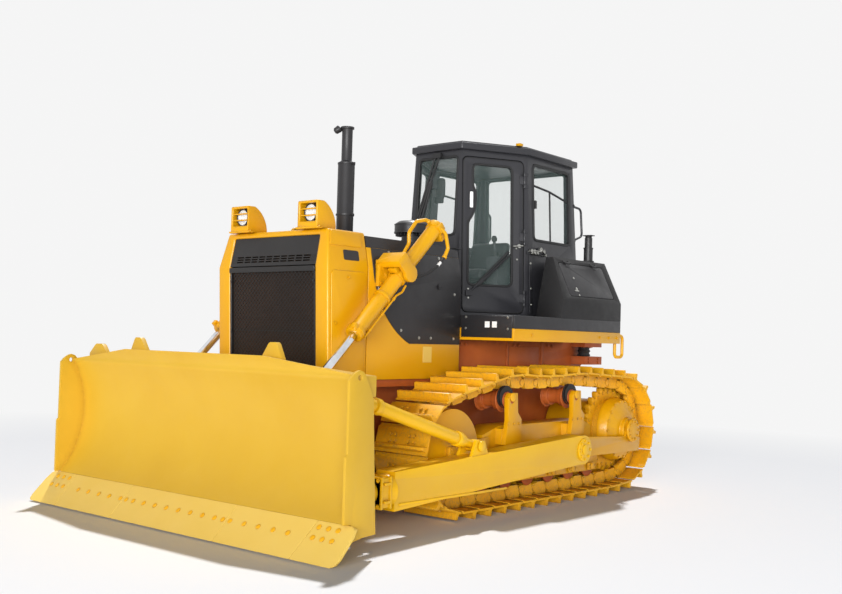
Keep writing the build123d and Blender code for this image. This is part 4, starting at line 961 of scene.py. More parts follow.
# ------------------------ studio
@dataclass
class Studio:
    """Seamless pale floor, a high sun behind, a wide low fill in front, and the camera."""

    camera_place: Point = (6.643, -7.582, 1.506)
    yaw_deg: float = 40.28
    pitch_deg: float = 2.18
    roll_deg: float = 1.59
    lens_mm: float = 45.17
    sensor_mm: float = 36.0
    floor_half: float = 90.0
    floor_tone: Tone = (0.83, 0.838, 0.86, 1.0)
    pale: float = 0.915
    fade: Flat = (6.5, 11.0)
    sun_towards: Point = (0.30, -0.46, -1.0)
    sun_strength: float = 3.0
    sun_angle_deg: float = 2.5
    fill_place: Point = (14.0, -21.5, 3.6)
    fill_size: Flat = (18.0, 7.0)
    fill_power: float = 6700.0
    ambient: float = 0.07

    def floor(self) -> None:
        """Lay the floor just under the grousers; far out it fades into the backdrop's tone."""
        mesh = bpy.data.meshes.new("floor")
        corners = [(x * self.floor_half, y * self.floor_half, -0.001)
                   for x, y in ((-1, -1), (1, -1), (1, 1), (-1, 1))]
        mesh.from_pydata(corners, [], [(0, 1, 2, 3)])
        obj = linked("studio_floor", mesh)
        material, bench, shader = new_material("studio floor")
        bench.feed(shader, {"Base Color": self.floor_tone, "Roughness": 1.0, "Specular IOR Level": 0.0})
        where = bench.place()
        reach = bench.add("ShaderNodeVectorMath", {0: where}, operation="LENGTH").outputs["Value"]
        fade = bench.ranged(reach, self.fade, (0.0, 1.0))
        plain = bench.add("ShaderNodeEmission", {"Color": (*[self.pale] * 3, 1.0), "Strength": 1.0})
        blend = bench.add("ShaderNodeMixShader", {0: fade, 1: shader.outputs[0], 2: plain.outputs[0]})
        end = next(node for node in material.node_tree.nodes if node.type == "OUTPUT_MATERIAL")
        bench.tree.links.new(blend.outputs[0], end.inputs["Surface"])
        mesh.materials.append(material)

    def lights(self) -> None:
        """High sun from behind the machine's right, wide fill beside the camera, pale surroundings."""
        sun = bpy.data.lights.new("sun", "SUN")
        sun.energy, sun.angle = self.sun_strength, radians(self.sun_angle_deg)
        linked("sun", sun).rotation_euler = Vector(self.sun_towards).to_track_quat("-Z", "Y").to_euler()
        fill = bpy.data.lights.new("fill", "AREA")
        fill.shape, fill.size, fill.size_y, fill.energy = "RECTANGLE", *self.fill_size, self.fill_power
        aim = (Vector((0.0, 0.0, 1.2)) - Vector(self.fill_place)).to_track_quat("-Z", "Y")
        place = Matrix.Translation(Vector(self.fill_place))
        linked("fill", fill).matrix_world = place @ aim.to_matrix().to_4x4()
        world = bpy.data.worlds.new("studio surroundings")
        world.use_nodes = True
        bench = NodeBench(world.node_tree)
        background = world.node_tree.nodes["Background"]
        matte = bench.add("ShaderNodeLightPath").outputs["Is Diffuse Ray"]
        share = bench.ranged(matte, (0.0, 1.0), (self.pale, self.ambient))
        bench.tree.links.new(share, background.inputs["Strength"])
        background.inputs["Color"].default_value = (1.0, 1.0, 1.0, 1)
        bpy.context.scene.world = world

    def camera(self) -> None:
        """Set the camera by its yaw, pitch and roll."""
        yaw, pitch, roll = (radians(v) for v in (self.yaw_deg, self.pitch_deg, self.roll_deg))
        ahead = Vector((-sin(yaw) * cos(pitch), cos(yaw) * cos(pitch), sin(pitch)))
        flat_right = Vector((cos(yaw), sin(yaw), 0))
        flat_up = flat_right.cross(ahead)
        right = flat_right * cos(roll) + flat_up * sin(roll)
        up = flat_up * cos(roll) - flat_right * sin(roll)
        data = bpy.data.cameras.new("camera")
        data.lens, data.sensor_width, data.sensor_fit = self.lens_mm, self.sensor_mm, "HORIZONTAL"
        data.clip_end = 300
        obj = linked("camera", data)
        turn = Matrix((right, up, -ahead)).transposed().to_4x4()
        obj.matrix_world = Matrix.Translation(Vector(self.camera_place)) @ turn
        bpy.context.scene.camera = obj

    def build(self) -> None:
        """Build the whole studio."""
        self.camera()
        self.floor()
        self.lights()
        view = bpy.context.scene.view_settings
        view.view_transform, view.look, view.exposure, view.gamma = "Standard", "None", 0.0, 1.0


# ------------------------ shared dressing
Row = tuple[str, Finish, float]
SIDEWAYS: Point = (1.0, 0.0, 0.0)
UPWARDS: Point = (0.0, 0.0, 1.0)
STERN: Point = (0.0, 1.0, 0.0)
AHEAD: Point = (0.0, -1.0, 0.0)
FLANK = frame_place((0, 0, 0), (1, 0, 0), (0, -1, 0))


def dress(rows: Iterable[Row], body: str = Body.ROOT.value, segments: int = 2) -> None:
    """Ease plain nodes and hand them to one body.

    Args:
        rows: node, finish and edge radius of each piece.
        body: body that carries them.
        segments: faces across an eased edge.
    """
    for node, finish, bevel in rows:
        YARD.ship(eased_copy(node, f"{node}_dressed", finish, bevel, segments), body)


def repaint(node: str, finish: Finish) -> None:
    """Give a node that stays in view its finish."""
    for slot in FRAME["nodes"][node].material_slots:
        slot.material = finish.material


def both_sides(rows: Iterable[Spot]) -> list[Spot]:
    """Left-hand rows of (place, along, out) followed by their right-hand twins."""
    rows = list(rows)
    return rows + [((-p[0], p[1], p[2]), (-a[0], a[1], a[2]), (-o[0], o[1], o[2])) for p, a, o in rows]


def outward(places: Iterable[Point], out: Point, along: Point = STERN) -> list[Spot]:
    """Rows that all face one way."""
    return [(place, along, out) for place in places]


def bolted(name: str, rows: Sequence[Spot], finish: Finish, body: str = Body.ROOT.value,
           radius: float = 0.011, height: float = 0.011) -> None:
    """Hexagon bolts on (place, along, out) rows."""
    head = bolt(f"{name}_head", radius, height, finish)
    YARD.ship(scatter(name, head, rows, finish), body)


def ring_rows(centre: Point, radius: float, count: int) -> list[Spot]:
    """Rows on a circle about an axis along x."""
    x, y, z = centre
    return outward([(x, y + radius * a, z + radius * b) for a, b in circle(count)], SIDEWAYS)


# ------------------------ tracks
@dataclass(frozen=True)
class PinLine:
    """Closed line through the link pins of a track, in (y, z)."""

    idler: Flat = (-0.646, 0.555)
    idler_radius: float = 0.420
    sprocket: Flat = (2.084, 0.619)
    sprocket_radius: float = 0.468
    lift_off: float = 1.760
    carriers: Flat = (0.100, 1.160)
    carrier_height: float = 1.141
    sag: float = 0.027
    shoes: int = 38

    @staticmethod
    def touch(point: Flat, centre: Flat, radius: float, turn: int) -> Flat:
        """Point where a line from a point touches a circle; turn picks the side.

        Args:
            point: where the line starts.
            centre: middle of the circle.
            radius: its radius.
            turn: 1 or -1, the side that is touched.

        Returns:
            The touching point.
        """
        dy, dz = point[0] - centre[0], point[1] - centre[1]
        angle = atan2(dz, dy) + turn * acos(radius / hypot(dy, dz))
        return centre[0] + radius * cos(angle), centre[1] + radius * sin(angle)

    @staticmethod
    def arc(centre: Flat, radius: float, start: Flat, end: Flat, steps: int = 90) -> list[Flat]:
        """Points on a circle from one point round to another.

        Args:
            centre: middle of the circle.
            radius: its radius.
            start: first point.
            end: last point.
            steps: edges of the arc.

        Returns:
            The points.
        """
        first = atan2(start[1] - centre[1], start[0] - centre[0])
        last = atan2(end[1] - centre[1], end[0] - centre[0])
        last += 2 * pi if last <= first else 0.0
        return [(centre[0] + radius * cos(first + (last - first) * i / steps),
                 centre[1] + radius * sin(first + (last - first) * i / steps)) for i in range(steps + 1)]

    def course(self) -> list[Flat]:
        """The whole line as close points, starting under the idler.

        Returns:
            The points in order.
        """
        ground = self.idler[1] - self.idler_radius
        under, lift = (self.idler[0], ground), (self.lift_off, ground)
        front, rear = ((y, self.carrier_height) for y in self.carriers)
        hang = [(rear[0] - (rear[0] - front[0]) * i / 30,
                 self.carrier_height - self.sag * (1 - ((15 - i) / 15) ** 2)) for i in range(31)]
        on_sprocket = self.touch(lift, self.sprocket, self.sprocket_radius, 1)
        off_sprocket = self.touch(rear, self.sprocket, self.sprocket_radius, -1)
        on_idler = self.touch(front, self.idler, self.idler_radius, 1)
        return ([under, lift] + self.arc(self.sprocket, self.sprocket_radius, on_sprocket, off_sprocket)
                + hang + self.arc(self.idler, self.idler_radius, on_idler, under))

    def pins(self) -> list[Flat]:
        """Pins at equal spacing along the line.

        Returns:
            Place of each pin.
        """
        course = self.course()
        lengths = [hypot(b[0] - a[0], b[1] - a[1]) for a, b in zip(course, course[1:])]
        step = sum(lengths) / self.shoes
        pins, walked, index = [], 0.0, 0
        for i in range(self.shoes):
            while walked + lengths[index] < i * step - 1e-9:
                walked += lengths[index]
                index += 1
            share = (i * step - walked) / lengths[index]
            a, b = course[index], course[index + 1]
            pins.append((a[0] + (b[0] - a[0]) * share, a[1] + (b[1] - a[1]) * share))
        return pins


@dataclass(frozen=True)
class Tracks:
    """Both chains: shoes with one grouser, scalloped links, pin ends and shoe bolts."""

    line: PinLine = PinLine()
    middle: float = 1.0
    half: float = 0.28
    rail: Flat = (0.060, 0.105)
    pin_radius: float = 0.031
    bolt_places: tuple[Flat, ...] = ((0.066, 0.074), (0.066, 0.128), (0.118, 0.074), (0.118, 0.128))
    # shoe and link outlines: along the chain, out from the pin line
    shoe_outline: tuple[Flat, ...] = (
        (-0.024, 0.047), (-0.018, 0.043), (0.010, 0.050), (0.026, 0.058), (0.203, 0.058), (0.216, 0.064),
        (0.215, 0.075), (0.196, 0.078), (0.187, 0.084), (0.182, 0.127), (0.176, 0.135), (0.159, 0.135),
        (0.153, 0.127), (0.148, 0.086), (0.138, 0.077), (0.008, 0.076), (-0.004, 0.058))
    link_outline: tuple[Flat, ...] = (
        (-0.038, -0.006), (-0.032, -0.032), (-0.010, -0.046), (0.020, -0.044), (0.036, -0.057),
        (0.150, -0.057), (0.164, -0.040), (0.172, -0.010), (0.188, 0.030), (0.176, 0.058), (0.016, 0.058),
        (0.006, 0.038), (-0.024, 0.028))

    def shoe(self) -> Thing:
        """One pitch of the chain, along x, with z out of the chain.

        Returns:
            The spare part.
        """
        draft = Draft().slab(self.shoe_outline, FLANK, -self.half, self.half)
        for side in (-1, 1):
            near, far = sorted((side * self.rail[0], side * self.rail[1]))
            draft.slab(self.link_outline, FLANK, near, far)
            draft.bar((0, near - 0.006, 0), (0, far + 0.006, 0), self.pin_radius, steps=14)
            for along, across in self.bolt_places:
                draft.hexagon((along, side * across, 0.077), UPWARDS, 0.0135, 0.015)
        return YARD.spare(draft.piece("shoe", Finish.TRACK, bevel=0.0025, segments=1, limit=40))

    def build(self) -> None:
        """Lay the shoes of both chains."""
        shoe, pins = self.shoe(), self.line.pins()
        for side in Side:
            rows = []
            for here, ahead in zip(pins, pins[1:] + pins[:1]):
                run = Vector((0.0, ahead[0] - here[0], ahead[1] - here[1])).normalized()
                rows.append(((side.value * self.middle, *here), tuple(run), (0.0, run.z, -run.y)))
            chain = scatter(f"chain_{side.word}", shoe, rows, Finish.TRACK)
            shade(chain, 35)
            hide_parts(f"track_{side.word}")
            YARD.ship(chain)


@dataclass(frozen=True)
class Undercarriage:
    """Frames, wheels and hull between the tracks."""

    line: PinLine = PinLine()
    carrier_axis: Flat = (0.9985, 0.085)
    post_x: float = 1.225
    rollers: tuple[float, int, float] = (-0.180, 6, 1.560)
    roller_z: float = 0.280
    rows: tuple[Row, ...] = (
        ("track_frame_left", Finish.YELLOW, 0.006), ("track_frame_right", Finish.YELLOW, 0.006),
        ("idlers", Finish.TRACK, 0.006), ("sprockets", Finish.TRACK, 0.003),
        ("final_drives", Finish.YELLOW, 0.010), ("carrier_rollers", Finish.HULL, 0.005),
        ("track_rollers", Finish.HULL, 0.005), ("main_frame", Finish.HULL, 0.008),
        ("drawbar", Finish.YELLOW, 0.006))

    def bolts(self) -> None:
        """Bolt circles on the sprocket rims, the bearing caps and the hubs between them."""
        y, z = self.line.sprocket
        rim = ring_rows((1.0285, y, z), 0.372, 24)
        cap = ring_rows((1.342, y, z), 0.092, 10)
        hub = ring_rows((1.2005, y, z), 0.284, 18)
        heads = both_sides(rim + cap + hub)
        bolted("drive_bolts", heads, Finish.TRACK, radius=0.012, height=0.012)

    def seals(self) -> None:
        """Black face seals of the carrier rollers."""
        draft = Draft()
        z, radius = self.carrier_axis
        for y in self.line.carriers:
            for x in (1.124, 1.150):
                draft.twin_bars((x, y, z), (x + 0.015, y, z), radius + 0.014, 28)
        YARD.ship(draft.piece("roller_seals", Finish.RUBBER, bevel=0.003))

    def collars(self) -> None:
        """Axle collars with two bolts on the skirts of the track frames."""
        first, count, last = self.rollers
        axle_z, post_z = self.roller_z, self.carrier_axis[0]
        axles = [first + (last - first) * i / (count - 1) for i in range(count)]
        iy, iz = self.line.idler
        draft = Draft()
        for y in axles:
            draft.twins((1.150, y - 0.062, axle_z - 0.034), (1.168, y + 0.062, axle_z + 0.034))
            draft.twin_bars((1.160, y, axle_z), (1.180, y, axle_z), 0.030, 18)
        for y in self.line.carriers:
            draft.twin_bars((self.post_x, y, post_z), (self.post_x + 0.012, y, post_z), 0.040, 20)
        draft.twins((1.150, iy - 0.075, iz - 0.055), (1.190, iy + 0.085, iz + 0.050))
        YARD.ship(draft.piece("axle_collars", Finish.TRACK, bevel=0.005))
        rows = outward([(1.168, y + d, axle_z) for y in axles for d in (-0.047, 0.047)], SIDEWAYS)
        rows += outward([(1.190, iy + dy, iz + dz) for dy in (-0.055, 0.065) for dz in (-0.036, 0.031)],
                        SIDEWAYS)
        rows += outward([(self.post_x, y + dy, post_z - 0.235) for y in self.line.carriers
                         for dy in (-0.055, 0.030, 0.110)], SIDEWAYS)
        bolted("frame_bolts", both_sides(rows), Finish.TRACK, radius=0.011, height=0.010)

    def hull(self) -> None:
        """Seams, stiffeners and bolt pads on the hull's sides, and the platform's rubber mounts."""
        draft, mounts = Draft(), Draft()
        for y0, y1 in ((0.03, 0.055), (0.86, 0.885), (1.46, 1.50)):
            draft.twins((0.598, y0, 1.14), (0.612, y1, 1.486))
        draft.twins((0.598, 0.90, 1.19), (0.606, 1.42, 1.44))
        YARD.ship(draft.piece("hull_ribs", Finish.HULL, bevel=0.003))
        for x in (-0.69, 0.69):
            mounts.turned([(0.062, 0.0), (0.070, 0.012), (0.056, 0.034), (0.070, 0.056), (0.056, 0.076),
                           (0.064, 0.094)], axis_place((x, 2.15, 1.352), (x, 2.15, 1.448)), 28)
        YARD.ship(mounts.piece("rubber_mounts", Finish.RUBBER, bevel=0.003))
        rows = outward([(0.612, y, 1.455) for y in (0.12, 0.20, 0.98, 1.06, 1.58, 1.66)], SIDEWAYS)
        rows += outward([(0.770, y, z) for y in (2.12, 2.31) for z in (1.290, 1.325)], SIDEWAYS)
        bolted("hull_bolts", both_sides(rows), Finish.HULL, radius=0.012, height=0.010)

    def build(self) -> None:
        """Dress everything between and beside the tracks."""
        dress(self.rows)
        self.bolts()
        self.seals()
        self.collars()
        self.hull()


# ------------------------ front and hood
# half width and height where the sides begin to lean inwards, and where they end
SHOULDER: Flat = (0.675, 2.063)
EAVES: Flat = (0.614, 2.360)
LEAN = (SHOULDER[0] - EAVES[0]) / (EAVES[1] - SHOULDER[1])


@dataclass(frozen=True)
class Guard:
    """Radiator guard with its side dressing, slotted panel and expanded mesh."""

    crease: Flat = (-1.688, 2.063)
    foot: Flat = (-1.640, 1.010)
    crown: Flat = (-1.633, 2.312)
    half: float = 0.5255
    rim: float = 0.017
    plate: float = 0.026
    lip: float = 0.045
    slot_rows: tuple[float, ...] = (0.042, 0.063, 0.084)
    slots: int = 10
    slot_half: float = 0.452
    mesh_pitch: float = 0.042
    strand: Flat = (0.0052, 0.0035)

    @property
    def tall(self) -> float:
        """Length of the face below the crease."""
        return hypot(self.crease[0] - self.foot[0], self.crease[1] - self.foot[1])

    def lower(self) -> Matrix:
        """Placement on the face below the crease, y up the face, z out of it."""
        rise = (self.crease[0] - self.foot[0], self.crease[1] - self.foot[1])
        return frame_place((0, *self.foot), SIDEWAYS, (0, -rise[1], rise[0]))

    def upper(self) -> Matrix:
        """Placement on the face above the crease."""
        rise = (self.crown[0] - self.crease[0], self.crown[1] - self.crease[1])
        return frame_place((0, *self.crease), SIDEWAYS, (0, -rise[1], rise[0]))

    def frame(self) -> None:
        """Frame, crease bar and slotted panel in one piece."""
        low, high = self.lower(), self.upper()
        tall = self.tall
        head = hypot(self.crown[0] - self.crease[0], self.crown[1] - self.crease[1])
        draft, half, rim, thick = Draft(), self.half, self.rim, -self.plate
        for x0, x1, y0, y1 in ((-half, -half + rim, 0, tall - self.lip),
                               (half - rim, half, 0, tall - self.lip), (-half, half, 0, rim),
                               (-half, half, tall - self.lip, tall - 0.004)):
            draft.block((x0, y0, thick), (x1, y1, 0.0), low)
        draft.block((-half + rim, 0.512, thick), (half - rim, 0.520, -0.019), low)
        draft.block((-half, tall - 0.048, 0.0), (half, tall - 0.006, 0.010), low)
        edges = [0.004, *[v for row in self.slot_rows for v in (row - 0.0055, row + 0.0055)], head]
        for y0, y1 in zip(edges[::2], edges[1::2]):
            draft.block((-half, y0, thick), (half, y1, 0.0), high)
        pitch = 2 * self.slot_half / self.slots
        for row in self.slot_rows:
            draft.block((-half, row - 0.006, thick), (-self.slot_half, row + 0.006, 0.0), high)
            draft.block((self.slot_half, row - 0.006, thick), (half, row + 0.006, 0.0), high)
            for i in range(1, self.slots):
                x = -self.slot_half + i * pitch
                draft.block((x - 0.008, row - 0.006, thick), (x + 0.008, row + 0.006, -0.0005), high)
        plate = draft.piece("grille_frame", Finish.GRILLE, bevel=0.0015, segments=1)
        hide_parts("radiator_grille")
        YARD.ship(plate)

    def mesh(self) -> None:
        """Diamond mesh and the core behind it."""
        long, wide, thick = self.mesh_pitch / 2.82, self.strand[0] / 2, self.strand[1] / 2
        cross = Draft()
        for turn in (pi / 4, -pi / 4):
            cross.block((-long, -wide, -thick), (long, wide, thick), Matrix.Rotation(turn, 4, "Z"))
        part = YARD.spare(cross.piece("mesh_cross", Finish.GRILLE))
        place = self.lower()
        tall = self.tall - self.lip
        span, rise = 2 * (self.half - self.rim), tall - self.rim
        columns, rows = round(span / self.mesh_pitch), 2 * round(rise / self.mesh_pitch)
        grid = points_object("grille_mesh", [(0, 0, 0)])
        middle = place @ Vector((-self.mesh_pitch / 4, self.rim + rise / 2, -0.016))
        run_tree(lattice_tree(), grid, Part=part, Finish=Finish.GRILLE.material, Columns=columns, Rows=rows,
                 Width=span - 1.5 * self.mesh_pitch, Height=rise - self.mesh_pitch / 2,
                 Row_Shift=self.mesh_pitch / 2, Face=tuple(place.to_euler()), Place=tuple(middle))
        YARD.ship(grid)
        core = Draft()
        core.block((-0.52, 0.004, -0.060), (0.52, tall, -0.030), place)
        for i in range(12):
            core.block((-0.50, 0.06 + i * 0.078, -0.030), (0.50, 0.066 + i * 0.078, -0.027), place)
        YARD.ship(core.piece("radiator_core", Finish.CORE))
        core = Draft().block((-0.52, 0.0, -0.060), (0.52, 0.20, -0.030), self.upper())
        YARD.ship(core.piece("header_tank", Finish.CORE))

    def sides(self) -> None:
        """Cap seam, blank plate, pressed panel and bolts on each side of the guard."""
        draft, plate = Draft(), Draft()
        cap = rounded([(-1.650, 0.168), (-1.275, 0.168), (-1.275, 0.292), (-1.618, 0.292)], 0.02)
        press = rounded([(-1.622, 1.13), (-1.250, 1.13), (-1.250, 2.026), (-1.655, 2.026)], 0.05)
        blank = rounded([(-1.500, 0.052), (-1.322, 0.052), (-1.322, 0.137), (-1.500, 0.137)], 0.016)
        for sign in (-1, 1):
            lean = frame_place((sign * SHOULDER[0], 0, SHOULDER[1]), STERN, (sign, 0, LEAN))
            flat = frame_place((sign * SHOULDER[0], 0, 0), STERN, (sign, 0, 0))
            for part, outline, place, span in ((draft, cap, lean, (-0.004, 0.007)),
                                               (draft, press, flat, (-0.004, 0.008)),
                                               (plate, blank, lean, (-0.002, 0.003))):
                part.slab([(y, sign * z) for y, z in outline], place, *span)
        YARD.ship(draft.piece("guard_pressings", Finish.YELLOW, bevel=0.006, segments=3))
        YARD.ship(plate.piece("guard_plates", Finish.BLACK, bevel=0.0008, segments=1))
        places = ((-1.46, 1.975), (-1.60, 1.20), (-1.27, 1.20), (-1.60, 1.60))
        rows = outward([(0.683, *place) for place in places], SIDEWAYS)
        bolted("guard_bolts", both_sides(rows), Finish.YELLOW, radius=0.012, height=0.012)
        corners = [tuple(self.lower() @ Vector((x, y, 0.001))) for x in (-0.51, 0.51)
                   for y in (0.10, 0.50, 0.93)]
        bolted("grille_bolts", outward(corners, AHEAD, SIDEWAYS), Finish.BLACK, radius=0.009, height=0.008)

    def build(self) -> None:
        """Dress the guard."""
        dress([("radiator_guard", Finish.YELLOW, 0.028)], segments=4)
        self.frame()
        self.mesh()
        self.sides()


@dataclass(frozen=True)
class HeadLamps:
    """Lamp housings on the guard with bars over a round lens."""

    across: float = 0.421
    front: float = -1.690
    height: float = 2.494
    bars: Flat = (2.468, 2.522)
    foot: float = 2.368

    def build(self) -> None:
        """Build both lamps."""
        dress([("head_lamps", Finish.YELLOW, 0.010)], segments=3)
        dark, bright, clear, guard = Draft(), Draft(), Draft(), Draft()
        for sign in (-1, 1):
            x = sign * self.across
            back = axis_place((x, -1.602, self.height), (x, -1.70, self.height))
            dark.block((x - 0.090, -1.612, 2.424), (x + 0.090, -1.601, 2.564))
            dark.turned([(0.078, 0.006), (0.078, 0.052), (0.068, 0.058), (0.067, 0.050), (0.067, 0.006)],
                        back, 40)
            bright.turned([(0.066, 0.008), (0.066, 0.046), (0.058, 0.030), (0.034, 0.016), (0.010, 0.012)],
                          back, 40)
            bright.bar((x, -1.612, self.height), (x, -1.632, self.height), 0.012)
            clear.turned([(0.066, 0.048), (0.066, 0.052), (0.050, 0.060), (0.026, 0.065), (0.004, 0.067)],
                         back, 40)
            for z in self.bars:
                guard.bar((x - 0.094, self.front + 0.012, z), (x + 0.094, self.front + 0.012, z),
                          0.0065, steps=12)
            guard.block((x - 0.130, self.front - 0.004, self.foot - 0.008),
                        (x + 0.130, self.front + 0.050, self.foot + 0.006))
        YARD.ship(dark.piece("lamp_wells", Finish.RUBBER, bevel=0.001, segments=1), slot=Slot.BLACK)
        YARD.ship(bright.piece("lamp_bowls", Finish.BOWL))
        lens = clear.piece("lamp_domes", Finish.LENS)
        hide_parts("lamp_lenses")
        YARD.ship(lens)
        YARD.ship(guard.piece("lamp_bars", Finish.YELLOW, bevel=0.002, segments=1))
        heads = [(sign * (self.across + dx), self.front + 0.022, self.foot + 0.006)
                 for sign in (-1, 1) for dx in (-0.121, 0.121)]
        bolted("lamp_bolts", outward(heads, UPWARDS), Finish.YELLOW, radius=0.009, height=0.010)


@dataclass(frozen=True)
class Hood:
    """Engine hood, side panels, stack and air intake hat."""

    stack: Flat = (0.0, -0.830)
    hat: Point = (0.100, -0.030, 2.486)
    arc_bolts: tuple[Flat, ...] = (
        (-1.120, 2.02), (-1.105, 1.905), (-0.800, 1.560), (-0.560, 1.500), (-0.08, 1.50), (-0.08, 1.90),
        (-0.40, 1.50))
    latch: Flat = (-0.300, 1.960)
    seam: float = 2.215

    def bay(self) -> None:
        """Bolts and a latch on the bay panels, and the seam bolts of the hood."""
        x, (latch_y, latch_z) = 0.6810, self.latch
        rows = outward([(x, y, z) for y, z in self.arc_bolts], SIDEWAYS)
        seam_x = x - (self.seam - SHOULDER[1]) * LEAN
        rows += outward([(seam_x, y, self.seam) for y in (-0.95, -0.62, -0.28)], (1, 0, LEAN))
        bolted("bay_bolts", both_sides(rows), Finish.ZINC, radius=0.010, height=0.009)
        latches = Draft()
        latches.twin_bars((x, latch_y, latch_z), (x + 0.012, latch_y, latch_z), 0.024, 28)
        latches.twins((x + 0.010, latch_y - 0.022, latch_z - 0.005),
                      (x + 0.018, latch_y + 0.022, latch_z + 0.005))
        for y in (-0.96, -0.42, 0.12):
            latches.twins((0.50, y - 0.045, 2.335), (0.56, y + 0.045, 2.343))
        YARD.ship(latches.piece("bay_latches", Finish.BLACK, bevel=0.002))

    def stack_bands(self) -> None:
        """Clamp bands on the muffler and the outlet."""
        x, y = self.stack
        bands = Draft()
        for z, radius in ((2.575, 0.0805), (3.036, 0.0765)):
            place = axis_place((x, y, z), (x, y, z + 1))
            bands.ring((radius - 0.006, radius + 0.003), (0.0, 0.016), place)
            bands.block((x + radius, y - 0.010, z - 0.002), (x + radius + 0.026, y + 0.010, z + 0.016))
        flap = axis_place((x - 0.050, y - 0.042, 3.366), (x - 0.100, y - 0.084, 3.320))
        bands.turned([(0.030, 0.0), (0.034, 0.010), (0.030, 0.050), (0.016, 0.062)], flap, 20)
        bands.block((x - 0.072, y - 0.062, 3.345), (x - 0.030, y - 0.020, 3.368))
        YARD.ship(bands.piece("stack_bands", Finish.BLACK, bevel=0.001, segments=1))

    def intake(self) -> None:
        """Vanes under the hat, its rim bead and its clamp."""
        x, y, z = self.hat
        draft = Draft()
        for i in range(24):
            turn = 2 * pi * i / 24
            place = Matrix.Translation(Vector((x, y, z))) @ Matrix.Rotation(turn, 4, "Z")
            draft.block((0.088, -0.002, -0.030), (0.150, 0.002, 0.001), place)
        up = axis_place((x, y, z), (x, y, z + 1))
        draft.ring((0.150, 0.1645), (-0.003, 0.010), up, 56)
        draft.ring((0.150, 0.1635), (0.074, 0.084), up, 56)
        draft.turned([(0.030, 0.110), (0.030, 0.122), (0.020, 0.128), (0.006, 0.130)], up, 32)
        draft.ring((0.086, 0.098), (-0.090, -0.068), up)
        YARD.ship(draft.piece("intake_vanes", Finish.BLACK, bevel=0.001, segments=1))

    def build(self) -> None:
        """Dress the hood."""
        dress([("hood_top", Finish.BLACK, 0.018), ("precleaner", Finish.BLACK, 0.014)], segments=4)
        dress([("hood_sides", Finish.YELLOW, 0.003), ("bay_panels", Finish.BLACK, 0.002),
               ("exhaust_stack", Finish.BLACK, 0.003)])
        repaint("engine_block", Finish.IRON)
        self.bay()
        self.stack_bands()
        self.intake()


